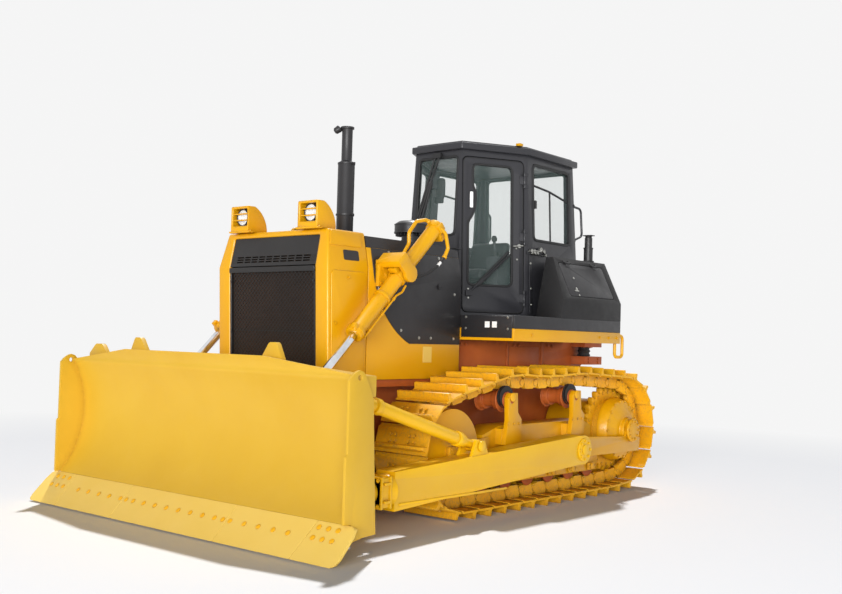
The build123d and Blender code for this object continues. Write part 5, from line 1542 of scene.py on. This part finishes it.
@dataclass(frozen=True)
class LiftCylinders:
    """Lift cylinders: collars, head and gland fittings, feed pipes and a short hose."""

    across: float = 0.820
    trunnion: Flat = (-0.985, 2.030)
    axis: Flat = (-0.722, -0.692)
    barrel_radius: float = 0.064
    head: float = -0.635
    gland: float = 0.754
    clamp: float = 0.300
    clips: Span = (0.240, 0.430, 0.620, 0.014)
    # routes on the left cylinder: along it, across it and ahead of it
    elbow: tuple[Point, ...] = (
        (-0.599, -0.020, 0.070), (-0.601, -0.030, 0.105), (-0.50, -0.052, 0.166), (-0.37, -0.060, 0.150),
        (-0.31, -0.064, 0.075), (-0.16, -0.060, 0.052))
    drop: tuple[Point, ...] = (
        (-0.600, 0.070, 0.010), (-0.605, 0.086, -0.060), (-0.550, 0.084, -0.178), (-0.480, 0.078, -0.205))
    feed: tuple[Point, ...] = (
        (0.050, 0.038, -0.090), (0.120, 0.044, -0.098), (0.200, 0.044, -0.070), (0.709, 0.044, -0.070))
    loose: tuple[Point, ...] = (
        (-0.465, 0.077, -0.210), (-0.33, 0.078, -0.205), (-0.20, 0.074, -0.170), (-0.10, 0.060, -0.118),
        (-0.02, 0.045, -0.098))
    nuts: tuple[Point, ...] = (
        (-0.480, 0.078, -0.205), (-0.460, 0.077, -0.213), (-0.600, -0.022, 0.074), (-0.601, -0.027, 0.094))

    def at(self, along: float, across: float = 0.0, ahead: float = 0.0) -> Point:
        """Point by its distance along the left cylinder, across it and ahead of it."""
        (y, z), (dy, dz) = self.trunnion, self.axis
        return self.across + across, y + dy * along + dz * ahead, z + dz * along - dy * ahead

    def placed(self) -> Matrix:
        """Placement with z down the cylinder and x across it."""
        return frame_place(self.at(0), SIDEWAYS, (0, *self.axis))

    def metal(self) -> Thing:
        """Yellow fittings of the left barrel.

        Returns:
            The piece.
        """
        r, place, draft = self.barrel_radius, self.placed(), Draft()
        head, clamp, gland = self.head, self.clamp, self.gland
        for low, high, swell in ((head - 0.006, head + 0.050, 0.005), (-0.075, 0.075, 0.014),
                                 (clamp - 0.017, clamp + 0.017, 0.009),
                                 (gland - 0.062, gland - 0.001, 0.011),
                                 (gland - 0.046, gland - 0.030, 0.016)):
            draft.ring((r - 0.008, r + swell), (low, high), place)
        for low, high in (((-0.034, -0.104, -0.110), (0.034, -0.060, -0.010)),
                          ((-0.028, 0.056, -0.030), (0.056, 0.112, 0.075)),
                          ((-0.046, -0.112, head + 0.002), (0.050, -0.036, head + 0.072)),
                          ((0.028, -0.030, head - 0.004), (0.082, 0.042, head + 0.066)),
                          ((-0.018, -0.100, clamp - 0.015), (0.018, -0.060, clamp + 0.015)),
                          ((0.020, 0.050, gland - 0.052), (0.062, 0.092, gland - 0.006))):
            draft.block(low, high, place)
        return draft.piece("lift_fittings_left", Finish.YELLOW, bevel=0.005)

    def run(self, name: str, route: Sequence[Point], radius: float, finish: Finish, bend: float) -> Thing:
        """Pipe along a route on the left cylinder."""
        return pipe(name, [self.at(*point) for point in route], radius, finish, bend)

    def plumbing(self) -> list[Thing]:
        """Pipes of the left barrel: both head elbows and the feed to the gland with its clips.

        Returns:
            The pipes and their clips.
        """
        pipes = [self.run("lift_elbow_left", self.elbow, 0.0165, Finish.YELLOW, 0.05),
                 self.run("lift_drop_left", self.drop, 0.0165, Finish.YELLOW, 0.05),
                 self.run("lift_feed_left", self.feed, 0.0095, Finish.YELLOW, 0.03)]
        draft, (*middles, half), (_, across, ahead) = Draft(), self.clips, self.feed[-1]
        for along in middles:
            draft.bar(self.at(along - half, across, ahead), self.at(along + half, across, ahead), 0.0145, 16)
        for start, end in zip(self.nuts[::2], self.nuts[1::2]):
            draft.bar(self.at(*start), self.at(*end), 0.022, 6)
        return [*pipes, draft.piece("lift_clips_left", Finish.YELLOW, bevel=0.0015, segments=1)]

    def hose(self) -> tuple[Thing, Thing]:
        """Short clipped hose on the left barrel and its pale band.

        Returns:
            The hose and the band.
        """
        hose = self.run("lift_hose_left", self.loose, 0.0115, Finish.RUBBER, 0.08)
        band = Draft().bar(self.at(-0.395, 0.0772, -0.2075), self.at(-0.350, 0.0778, -0.2055), 0.0135)
        return hose, band.piece("lift_band_left", Finish.BOWL, bevel=0.001, segments=1)

    def build(self) -> None:
        """Dress both cylinders and the yokes."""
        dress([("lift_yokes", Finish.YELLOW, 0.006)])
        rows = outward([(0.715, y, z) for y in (-1.110, -0.900) for z in (1.945, 2.115)], SIDEWAYS)
        bolted("yoke_bolts", both_sides(rows), Finish.YELLOW, radius=0.014, height=0.014)
        hose, band = self.hose()
        yellow = joined("lift_metal_left", [self.metal(), *self.plumbing()])
        for left in (yellow, hose, band):
            YARD.ship_pair(left, Body.BARREL)
        for side in Side:
            dress([(f"lift_barrel_{side.word}", Finish.YELLOW, 0.004)], Body.BARREL.of(side.word))
            dress([(f"lift_rod_{side.word}", Finish.CHROME, 0.002)], Body.ROD.of(side.word))


# ------------------------ blade
@dataclass(frozen=True)
class Blade:
    """Blade, push arms, braces and the bolted edge."""

    edge_foot: Flat = (-2.730, 0.012)
    edge_top: Flat = (-2.505, 0.250)
    main_row: float = 0.187
    main_bolts: tuple[float, ...] = (0.075, 0.220, 0.365, 0.505, 0.600, 0.680, 0.835, 0.985, 1.140, 1.290)
    end_rows: Flat = (0.190, 0.276)
    end_bolts: tuple[float, ...] = (1.530, 1.620, 1.710)
    eye: Flat = (-2.163, 0.900)
    eye_x: float = 0.820
    arm: Flat = (1.320, 1.500)
    pivot: Flat = (0.870, 0.512)
    brace: tuple[Flat, Flat] = ((-0.700, 0.640), (-2.190, 1.085))

    def edge(self) -> None:
        """Sunk bolt heads along the cutting edge."""
        rise = (self.edge_top[0] - self.edge_foot[0], self.edge_top[1] - self.edge_foot[1])
        place = frame_place((0, *self.edge_foot), SIDEWAYS, (0, -rise[1], rise[0]))
        places = [(x, self.main_row, 0.0) for x in self.main_bolts]
        places += [(x, up, 0.0) for x in self.end_bolts for up in self.end_rows]
        head = Draft().turned([(0.021, -0.002), (0.021, 0.003), (0.014, 0.0055), (0.004, 0.006)],
                              Matrix.Identity(4), 20)
        part = YARD.spare(head.piece("edge_bolt", Finish.TRACK, smooth=30))
        out = tuple(place.to_3x3() @ Vector(UPWARDS))
        rows = both_sides(outward(on(place, *places), out, SIDEWAYS))
        YARD.ship(scatter("edge_bolts", part, rows, Finish.TRACK), Body.BLADE.value)

    def arms(self) -> None:
        """Box ends, cap bolts, pins and wear plates on both push arms."""
        inner, outer = self.arm
        middle, (pivot_y, pivot_z) = (inner + outer) / 2, self.pivot
        draft = Draft()
        boxes = [((middle - 0.108, -1.925, 0.268), (middle + 0.108, -1.805, 0.482)),
                 ((outer - 0.002, -1.70, 0.262), (outer + 0.008, -0.35, 0.282))]
        boxes += [((middle - 0.118, y, 0.258), (middle + 0.118, y + 0.022, 0.492)) for y in (-1.925, -1.830)]
        boxes += [((middle + 0.105, -1.900, z), (middle + 0.130, -1.835, z + 0.020)) for z in (0.300, 0.430)]
        for low, high in boxes:
            draft.twins(low, high)
        pins = [(middle - 0.098, middle + 0.098, end, 0.030, 24) for end in self.brace]
        pins += [(middle + 0.084, middle + 0.096, end, 0.044, 24) for end in self.brace]
        pins += [(outer - 0.004, outer + 0.012, self.pivot, 0.108, 40),
                 (outer + 0.010, outer + 0.022, self.pivot, 0.050, 28)]
        pins += [(self.eye_x + x - 0.004, self.eye_x + x + 0.004, self.eye, 0.040, 24)
                 for x in (-0.092, 0.092)]
        for x0, x1, (y, z), radius, steps in pins:
            draft.twin_bars((x0, y, z), (x1, y, z), radius, steps)
        YARD.ship(draft.piece("arm_fittings", Finish.ARM, bevel=0.005), Body.BLADE.value)
        rows = ring_rows((outer + 0.012, pivot_y, pivot_z), 0.084, 8)
        rows += outward([(middle + dx, -1.938, z) for dx in (-0.095, 0.095) for z in (0.282, 0.468)],
                        AHEAD, SIDEWAYS)
        bolted("arm_bolts", both_sides(rows), Finish.ARM, Body.BLADE.value, 0.012, 0.012)

    def tilt(self) -> None:
        """Gland, port blocks and rigid pipes on the tilt cylinder, clamp rings on the strut."""
        foot, head = (Vector((0.0, *end)) for end in self.brace)
        run, across = (head - foot).normalized(), Vector((sum(self.arm) / 2, 0.0, 0.0))
        draft, pipes = Draft(), []
        for sign, share, radius, half in ((-1, 0.16, 0.078, 0.022), (-1, 0.56, 0.080, 0.022),
                                          (-1, 0.625, 0.076, 0.022), (1, 0.14, 0.062, 0.028),
                                          (1, 0.79, 0.062, 0.028)):
            point = foot + (head - foot) * share + across * sign
            draft.bar(tuple(point - run * half), tuple(point + run * half), radius, steps=32)
        up = Vector((0.0, run.z, -run.y))
        for index, (share, offset) in enumerate(((0.20, 0.022), (0.60, -0.022))):
            start, end = (foot + (head - foot) * part - across for part in (0.14, share))
            draft.block((offset - 0.022, -0.028, 0.050), (offset + 0.022, 0.028, 0.108),
                        frame_place(tuple(end), SIDEWAYS, tuple(up)))
            lift = up * 0.10 + Vector((offset, 0.0, 0.0))
            pipes.append(pipe(f"tilt_pipe_{index}", [tuple(start + lift), tuple(end + lift)],
                              0.010, Finish.ARM))
        fittings = joined("brace_fittings", [draft.piece("brace_rings", Finish.ARM, bevel=0.004), *pipes])
        YARD.ship(fittings, Body.BLADE.value)

    def build(self) -> None:
        """Dress everything that moves with the blade."""
        # the edge's long flat plates keep their own normals
        plates = eased_copy("cutting_edge", "cutting_edge_dressed", Finish.EDGE, 0.003, smooth=20)
        YARD.ship(plates, Body.BLADE.value)
        dress([("moldboard", Finish.BLADE, 0.005),
               ("push_arm_left", Finish.ARM, 0.010), ("push_arm_right", Finish.ARM, 0.010),
               ("brace_strut", Finish.ARM, 0.004), ("tilt_cylinder", Finish.ARM, 0.004)],
              Body.BLADE.value, segments=3)
        self.edge()
        self.arms()
        self.tilt()


# ------------------------ cab
def grown(outline: Sequence[Flat], distance: float) -> list[Flat]:
    """Closed counter-clockwise outline moved outwards by a distance.

    Args:
        outline: the outline.
        distance: how far out, or in where negative.

    Returns:
        The moved outline.
    """
    moved = []
    for i, here in enumerate(outline):
        a = (Vector(here) - Vector(outline[i - 1])).normalized()
        b = (Vector(outline[(i + 1) % len(outline)]) - Vector(here)).normalized()
        first, second = Vector((a.y, -a.x)), Vector((b.y, -b.x))
        middle = (first + second).normalized()
        reach = distance / max(middle.dot(first), 0.3)
        moved.append((here[0] + middle.x * reach, here[1] + middle.y * reach))
    return moved


def band(draft: Draft, outline: Sequence[Flat], place: Matrix, width: float, low: float,
         high: float) -> Draft:
    """Closed strip along an outline, from low to high above a placement.

    Args:
        draft: draft that takes the strip.
        outline: middle line of the strip.
        place: the outline's placement.
        width: width of the strip.
        low: height of its foot.
        high: height of its top.

    Returns:
        The draft.
    """
    outer, inner = grown(outline, width / 2), grown(outline, -width / 2)
    corners = ((outer, low), (outer, high - width * 0.2), (grown(outline, width * 0.3), high),
               (grown(outline, -width * 0.3), high), (inner, high - width * 0.2), (inner, low), (outer, low))
    draft.skin([[place @ Vector((a, b, z)) for a, b in ring] for ring, z in corners], caps=False)
    return draft


def box_outline(x0: float, x1: float, y0: float, y1: float, radius: float) -> list[Flat]:
    """Counter-clockwise rectangle with rounded corners."""
    return rounded([(x0, y0), (x1, y0), (x1, y1), (x0, y1)], radius)


def on(place: Matrix, *points: Point) -> list[Point]:
    """Points of a placement in the shared frame."""
    return [tuple(place @ Vector(point)) for point in points]


@dataclass(frozen=True)
class Cab:
    """Cab shell with rubber seals, wipers, rails and the rear handle."""

    foot: float = 1.720
    lean: float = 0.0429
    side_window: Span = (0.118, 0.824, 0.792, 1.556)
    front_window: Span = (-0.249, 0.249, 0.792, 1.570)
    rear_window: Span = (-0.520, 0.520, 0.702, 1.570)
    post_bolts: tuple[float, ...] = (0.550, 0.299, 0.139)
    front_wipers: tuple[Rod, ...] = (
        ((0.030, 1.585, 0.024), (-0.180, 1.020, 0.020), 0.0105, 10),
        ((-0.020, 1.590, 0.024), (-0.215, 0.985, 0.020), 0.0105, 10),
        ((-0.095, 1.330, 0.010), (-0.235, 0.860, 0.008), 0.014, 10),
        ((-0.060, 1.330, 0.010), (-0.190, 0.900, 0.008), 0.014, 10))
    rear_wiper: Rod = ((0.02, 1.585, 0.020), (0.16, 0.900, 0.012), 0.007, 10)
    # places and radii of the catch's round parts, then its links
    catch: tuple[Point, ...] = (
        (0.030, 0.672, 0.020), (0.085, 0.668, 0.024), (0.140, 0.660, 0.016), (0.205, 0.696, 0.026),
        (0.262, 0.682, 0.020), (0.290, 0.646, 0.014))
    links: tuple[Rod, ...] = (
        ((0.030, 0.678, 0.030), (0.205, 0.676, 0.030), 0.009, 10),
        ((0.030, 0.650, 0.022), (0.150, 0.646, 0.022), 0.007, 10),
        ((0.205, 0.696, 0.032), (0.290, 0.650, 0.032), 0.008, 10))
    handle: tuple[Point, ...] = (
        (0.598, 1.996, 2.945), (0.604, 2.165, 2.930), (0.612, 2.185, 2.640), (0.606, 2.012, 2.575))

    def front(self) -> Matrix:
        """Placement on the front wall."""
        return frame_place((0, 0.401, self.foot), SIDEWAYS, (0, -1, self.lean))

    def rear(self) -> Matrix:
        """Placement on the rear wall."""
        return frame_place((0, 2.060, self.foot), (-1, 0, 0), (0, 1, self.lean))

    def side(self) -> Matrix:
        """Placement on the left rear side wall."""
        return frame_place((0.7006, 1.0837, self.foot), (-0.0337, 0.9994, 0), (0.9984, 0.0337, self.lean))

    def seals(self) -> None:
        """Rubber round every fixed window and the sash bars of the side ones."""
        draft = Draft()
        band(draft, box_outline(*self.front_window, 0.055), self.front(), 0.026, -0.028, 0.006)
        band(draft, box_outline(*self.rear_window, 0.060), self.rear(), 0.026, -0.028, 0.006)
        left = Draft()
        band(left, box_outline(*self.side_window, 0.060), self.side(), 0.028, -0.028, 0.007)
        x0, x1, y0, y1 = self.side_window
        place = self.side()
        sash = on(place, (x0, y1 - 0.205, -0.016), (x0 + 0.33, y1 - 0.235, -0.016), (x1, y1 - 0.305, -0.016))
        for start, end in zip(sash, sash[1:]):
            left.bar(start, end, 0.011, steps=12)
        left.bar(*on(place, (x0 + 0.34, y0, -0.016), (x0 + 0.34, y1 - 0.235, -0.016)), 0.009, steps=12)
        left.block((x0 + 0.004, y0 + 0.32, -0.012), (x0 + 0.040, y0 + 0.40, 0.016), place)
        YARD.ship_pair(left.piece("side_seals_left", Finish.RUBBER))
        YARD.ship(draft.piece("cab_seals", Finish.RUBBER))

    def wipers(self) -> None:
        """Parked pair of wipers on the front pane and one behind."""
        front, rear, draft = self.front(), self.rear(), Draft()
        draft.rods(front, self.front_wipers)
        draft.block((-0.045, 1.560, 0.0), (0.055, 1.612, 0.046), front)
        draft.rods(rear, [self.rear_wiper])
        draft.block((-0.020, 1.560, 0.0), (0.060, 1.605, 0.040), rear)
        YARD.ship(draft.piece("cab_wipers", Finish.RUBBER, bevel=0.002, segments=1))

    def fittings(self) -> None:
        """Rear handle, roof lug, post bolts and the door catch with its pins."""
        left = pipe("cab_handle_left", self.handle, 0.0125, Finish.CAB, bend=0.05)
        pads = Draft()
        for point in (self.handle[0], self.handle[-1]):
            pads.bar(point, (point[0], point[1] + 0.022, point[2]), 0.026, steps=18)
        place = self.side()
        pads.block((0.020, 0.05, -0.002), (0.064, 0.690, 0.006), place)
        pads.block((-0.020, 0.640, 0.0), (0.330, 0.676, 0.007), place)
        pads.block((0.165, 0.655, 0.006), (0.300, 0.716, 0.022), place)
        left = joined("cab_fittings_left", [left, pads.piece("cab_pads", Finish.CAB, bevel=0.002)])
        bright = Draft()
        bright.rods(place, [((x, y, 0.004), (x, y, 0.036), radius, 20) for x, y, radius in self.catch])
        bright.rods(place, self.links)
        pins = bright.piece("catch_pins_left", Finish.ZINC, bevel=0.0015, segments=1)
        YARD.ship_pair(left)
        YARD.ship_pair(pins)
        places = on(place, *[(0.042, y, 0.006) for y in self.post_bolts])
        rows = outward(places, (0.998, 0.034, 0.043), UPWARDS)
        bolted("post_bolts", both_sides(rows), Finish.ZINC, radius=0.009, height=0.008)
        roof = Draft().block((0.565, 0.985, 3.436), (0.615, 1.045, 3.462))
        YARD.ship(roof.piece("roof_lug", Finish.YELLOW, bevel=0.004))

    def build(self) -> None:
        """Dress the cab."""
        shell = eased_copy("cab_shell", "cab_shell_dressed", Finish.CAB, 0.005, merge=False)
        YARD.ship(shell)
        dress([("cab_roof", Finish.CAB, 0.014)], segments=3)
        repaint("cab_glass", Finish.GLASS)
        self.seals()
        self.wipers()
        self.fittings()


@dataclass(frozen=True)
class Doors:
    """Cab doors: stepped window seal, grip, wiper and edge rubber."""

    origin: Point = (0.33809, 0.401, 1.720)
    along: Point = (0.468984, 0.883207, 0.0)
    out: Point = (0.882393, -0.468552, 0.042905)
    edge: Span = (0.056, 0.705, 0.051, 1.559)
    window: tuple[Flat, ...] = (
        (0.109, 0.309), (0.587, 0.309), (0.587, 1.498), (0.157, 1.498), (0.157, 1.285), (0.187, 1.228),
        (0.187, 1.075), (0.152, 0.985), (0.109, 0.925))
    grip: Span = (0.127, 0.160, 1.065, 1.222)
    wiper_arm: tuple[Rod, ...] = (
        ((0.112, 0.226, 0.012), (0.312, 0.401, 0.024), 0.008, 12),
        ((0.312, 0.401, 0.024), (0.488, 0.567, 0.012), 0.006, 10))
    wiper_blade: tuple[Rod, ...] = (
        ((0.167, 0.278, 0.006), (0.548, 0.652, 0.006), 0.014, 10),
        ((0.212, 0.296, 0.024), (0.558, 0.622, 0.018), 0.008, 10))
    screw_places: tuple[Flat, ...] = ((0.112, 0.268), (0.114, 0.182), (0.640, 0.580), (0.632, 0.690))
    latch: tuple[Rod, ...] = (
        ((0.655, 0.712, -0.002), (0.655, 0.712, 0.026), 0.020, 18),
        ((0.590, 0.706, 0.018), (0.698, 0.716, 0.022), 0.009, 12),
        ((0.610, 0.708, -0.002), (0.610, 0.708, 0.018), 0.008, 12))
    hinges: tuple[float, ...] = (0.195, 0.805, 1.375)

    @property
    def place(self) -> Matrix:
        """Placement on the left door, x along it and z out of it."""
        return frame_place(self.origin, self.along, self.out)

    def sheet(self) -> Thing:
        """Step beside the window, rim of the grip and wiper arm.

        Returns:
            The piece.
        """
        draft, place, (x0, x1, y0, y1) = Draft(), self.place, self.grip
        draft.slab([(0.096, 0.900), (0.115, 0.925), (0.152, 0.985), (0.187, 1.075), (0.187, 1.228),
                    (0.157, 1.285), (0.157, 1.515), (0.096, 1.515)], place, -0.014, -0.0005)
        band(draft, box_outline(x0 - 0.006, x1 + 0.006, y0 - 0.006, y1 + 0.006, 0.012), place, 0.008,
             -0.001, 0.005)
        draft.block((0.082, 0.200, 0.0), (0.146, 0.252, 0.022), place)
        draft.rods(place, self.wiper_arm)
        return draft.piece("door_sheet_left", Finish.CAB, bevel=0.0015, segments=1)

    def rubber(self) -> Thing:
        """Window seal, edge rubber and wiper blade.

        Returns:
            The piece.
        """
        draft, place = Draft(), self.place
        band(draft, rounded(self.window, 0.060, 7), place, 0.022, -0.018, 0.007)
        band(draft, box_outline(*self.edge, 0.055), place, 0.011, -0.004, 0.0015)
        draft.rods(place, self.wiper_blade)
        return draft.piece("door_rubber_left", Finish.RUBBER)

    def well(self) -> Thing:
        """Pale floor of the grip."""
        draft = Draft().slab(box_outline(*self.grip, 0.010), self.place, -0.0008, 0.0012)
        return draft.piece("door_grip_left", Finish.BOWL)

    def screws(self) -> Thing:
        """Screws, latch and hinge pins.

        Returns:
            The piece.
        """
        draft, place = Draft(), self.place
        draft.rods(place, [((x, y, 0.0), (x, y, 0.008), 0.0095, 14) for x, y in self.screw_places])
        draft.rods(place, self.latch)
        draft.rods(place,
                   [((0.715, y - 0.066, 0.015), (0.715, y - 0.060, 0.015), 0.0075, 12) for y in self.hinges])
        return draft.piece("door_screws_left", Finish.ZINC, bevel=0.001, segments=1)

    def build(self) -> None:
        """Dress both doors."""
        for left in (self.sheet(), self.rubber(), self.well(), self.screws()):
            YARD.ship_pair(left, Body.DOOR)
        for side in Side:
            dress([(f"door_{side.word}", Finish.CAB, 0.004)], Body.DOOR.of(side.word))
            repaint(f"door_pane_{side.word}", Finish.GLASS)


@dataclass(frozen=True)
class Interior:
    """Padded seat, consoles, levers, steering gear and mirror behind the glass."""

    floor: float = 1.7706
    seat_half: float = 0.235
    cushion: Span = (0.885, 1.330, 2.085, 2.205)

    def pad(self, name: str, half: float, outline: Sequence[Flat], welts: int, depth: float) -> None:
        """One cushion with sewn channels, from its side outline.

        Args:
            name: piece name.
            half: half its width.
            outline: its side in (y, z).
            welts: number of channels.
            depth: depth of a channel.
        """
        draft = Draft().slab(outline, frame_place((0, 0, 0), STERN, SIDEWAYS), -half, half)
        obj = draft.piece(name, Finish.VINYL, bevel=0.030, segments=5, limit=25)
        mesh = obj.data
        bm = bmesh.new()
        bm.from_mesh(mesh)
        bmesh.ops.triangulate(bm, faces=[f for f in bm.faces if len(f.verts) > 4])
        bmesh.ops.subdivide_edges(bm, edges=[e for e in bm.edges if e.calc_length() > 0.05], cuts=7,
                                  use_grid_fill=True)
        bm.normal_update()
        for vert in bm.verts:
            swell = cos(vert.co.x / half * pi / 2) * 0.35 + 0.65
            groove = abs(sin((vert.co.x / half) * pi * welts / 2))
            vert.co += vert.normal * (0.012 * swell - depth * (1 - groove) ** 6)
        bm.to_mesh(mesh)
        bm.free()
        shade(obj, 50)
        YARD.ship(obj)

    def seat(self) -> None:
        """Cushion, back and base in place of the plain seat."""
        y0, y1, z0, z1 = self.cushion
        self.pad("seat_cushion", self.seat_half,
                 [(y0, z0 + 0.02), (y1, z0), (y1, z1), (y0 + 0.03, z1), (y0, z1 - 0.04)], 5, 0.010)
        top = self.floor + 0.735
        self.pad("seat_back", self.seat_half - 0.008, [(1.270, z1), (1.375, z1), (1.412, top), (1.340, top)],
                 5, 0.010)
        base = Draft()
        base.block((-0.185, 0.965, self.floor), (0.185, 1.355, self.floor + 0.235))
        base.block((-0.205, 0.905, self.floor + 0.240), (0.205, 1.375, self.floor + 0.300))
        obj = base.piece("seat_base", Finish.PLASTIC, bevel=0.012, segments=3)
        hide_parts("operator_seat")
        YARD.ship(obj)

    def controls(self) -> None:
        """Levers with gaiters, dash gauges, pedals and the mirror."""
        draft, dark = Draft(), Draft()
        for x in (-0.37, 0.37):
            place = axis_place((x, 0.955, self.floor + 0.560), (x, 0.935, self.floor + 0.700))
            dark.turned([(0.052, -0.004), (0.040, 0.016), (0.044, 0.022), (0.032, 0.040), (0.036, 0.046),
                         (0.022, 0.064)], place, 24)
            dark.turned([(0.010, 0.150), (0.026, 0.158), (0.029, 0.185), (0.020, 0.208), (0.004, 0.214)],
                        place, 24)
        for x, radius in ((-0.12, 0.034), (-0.035, 0.034), (0.05, 0.026), (0.12, 0.026)):
            draft.bar((x, 0.580, self.floor + 0.640), (x, 0.594, self.floor + 0.652), radius, steps=28)
        for x in (-0.10, 0.10):
            draft.block((x - 0.045, 0.640, self.floor + 0.06), (x + 0.045, 0.655, self.floor + 0.18))
        mirror = frame_place((-0.085, 0.630, 3.010), (1, 0, 0), (0.2, -1, 0))
        dark.slab(box_outline(-0.045, 0.045, -0.105, 0.105, 0.04), mirror, 0.0, 0.022)
        dark.slab(box_outline(-0.065, 0.030, -0.150, -0.085, 0.02), mirror, 0.0, 0.030)
        dark.bar((-0.085, 0.625, 3.010), (-0.200, 0.560, 3.000), 0.008, steps=10)
        YARD.ship(draft.piece("cab_controls", Finish.PLASTIC, bevel=0.003))
        YARD.ship(dark.piece("cab_levers", Finish.RUBBER, bevel=0.004))

    def build(self) -> None:
        """Furnish the cab."""
        dress([("console", Finish.PLASTIC, 0.018)], segments=3)
        self.seat()
        self.controls()


@dataclass(frozen=True)
class Platform:
    """Platform, fender strips, side boxes with lids, tank and rails."""

    face: float = 1.280
    lid_origin: Point = (1.280, 1.340, 1.895)
    lid_out: Point = (0.9008, 0.0, 0.4341)
    riser: float = 0.014
    strip_bolts: tuple[float, ...] = (0.30, 1.481, 1.654, 1.812)
    latch: tuple[Span, ...] = ((-0.200, 0.245, 0.011, 0.006), (-0.228, 0.125, 0.014, 0.010),
                               (-0.215, 0.060, 0.010, 0.006))

    def bolts(self) -> None:
        """Bolts of the risers, the strips and the tank."""
        rows = outward([(x, self.riser, z) for x in (0.748, 1.216) for z in (1.600, 1.701)], AHEAD, SIDEWAYS)
        bolted("riser_bolts", both_sides(rows), Finish.ZINC, radius=0.009, height=0.008)
        rows = outward([(self.face, y, 1.551) for y in self.strip_bolts], SIDEWAYS)
        bolted("strip_bolts", both_sides(rows), Finish.YELLOW, radius=0.012, height=0.011)
        rows = outward([(x, 2.210, z) for x in (0.05, 0.25, 0.45, 0.65) for z in (1.84, 2.06)],
                       STERN, SIDEWAYS)
        bolted("tank_bolts", both_sides(rows), Finish.BLACK, radius=0.010, height=0.009)

    def lids(self) -> None:
        """Latch, keyhole and pull of each lid."""
        place = frame_place(self.lid_origin, (0, 1, 0), self.lid_out)
        for side in Side:
            dress([(f"box_lid_{side.word}", Finish.BLACK, 0.004)], Body.LID.of(side.word))
        latch = Draft()
        latch.rods(place, [((x, y, 0.0), (x, y, high), radius, 20) for x, y, radius, high in self.latch])
        latch.block((-0.262, 0.100, 0.0), (-0.196, 0.112, 0.006), place)
        YARD.ship_pair(latch.piece("lid_latch_left", Finish.ZINC, bevel=0.001, segments=1), Body.LID)

    def plates(self) -> None:
        """Blank plates on the left riser, tread strips and the breather's cap."""
        pale, draft = Draft(), Draft()
        for x in (0.965, 1.045):
            pale.block((x, self.riser - 0.0015, 1.610), (x + 0.052, self.riser + 0.001, 1.664))
        YARD.ship(pale.piece("blank_plates", Finish.BOWL), slot=Slot.STEEL)
        label = Draft().block((0.675, -0.495, 1.285), (0.6775, -0.375, 1.425))
        YARD.ship(label.piece("side_plate", Finish.EDGE, bevel=0.0008, segments=1))
        for i in range(9):
            x = 0.78 + i * 0.055
            draft.twins((x - 0.012, 0.06, 1.7195), (x + 0.012, 0.74, 1.7235))
        up = axis_place((0.950, 1.770, 2.560), (0.950, 1.770, 2.60))
        draft.ring((0.030, 0.046), (-0.228, -0.090), up)
        draft.ring((0.030, 0.039), (-0.090, 0.010), up)
        draft.ring((0.030, 0.050), (-0.104, -0.090), up)
        draft.block((0.900, 1.735, 2.590), (1.004, 1.805, 2.599))
        YARD.ship(draft.piece("platform_treads", Finish.BLACK, bevel=0.0012, segments=1))

    def build(self) -> None:
        """Dress the platform."""
        dress([("platform", Finish.BLACK, 0.004), ("fender_strips", Finish.YELLOW, 0.004),
               ("side_box_left", Finish.SHADED, 0.005), ("side_box_right", Finish.SHADED, 0.005)])
        dress([("fuel_tank", Finish.BLACK, 0.024), ("grab_bars", Finish.YELLOW, 0.0)], segments=4)
        self.bolts()
        self.lids()
        self.plates()


# ------------------------ whole machine
FRAME: dict[str, object] = {}


@dataclass(frozen=True)
class Bulldozer:
    """The whole machine, one sub-assembly after another."""

    parts: tuple[object, ...] = field(default_factory=lambda: (
        Undercarriage(), Tracks(), Guard(), HeadLamps(), Hood(), LiftCylinders(), Blade(), Platform(), Cab(),
        Doors(), Interior()))

    def build(self) -> None:
        """Build and dress every sub-assembly."""
        for part in self.parts:
            LOG.info("building %s", type(part).__name__)
            part.build()
        YARD.clear()


def main() -> None:
    """Load the frame, then build the studio and the machine."""
    logging.basicConfig(level=logging.INFO, format="%(name)s: %(message)s")
    FRAME.update(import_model())
    Studio().build()
    Bulldozer().build()


if __name__ == "__main__":
    main()
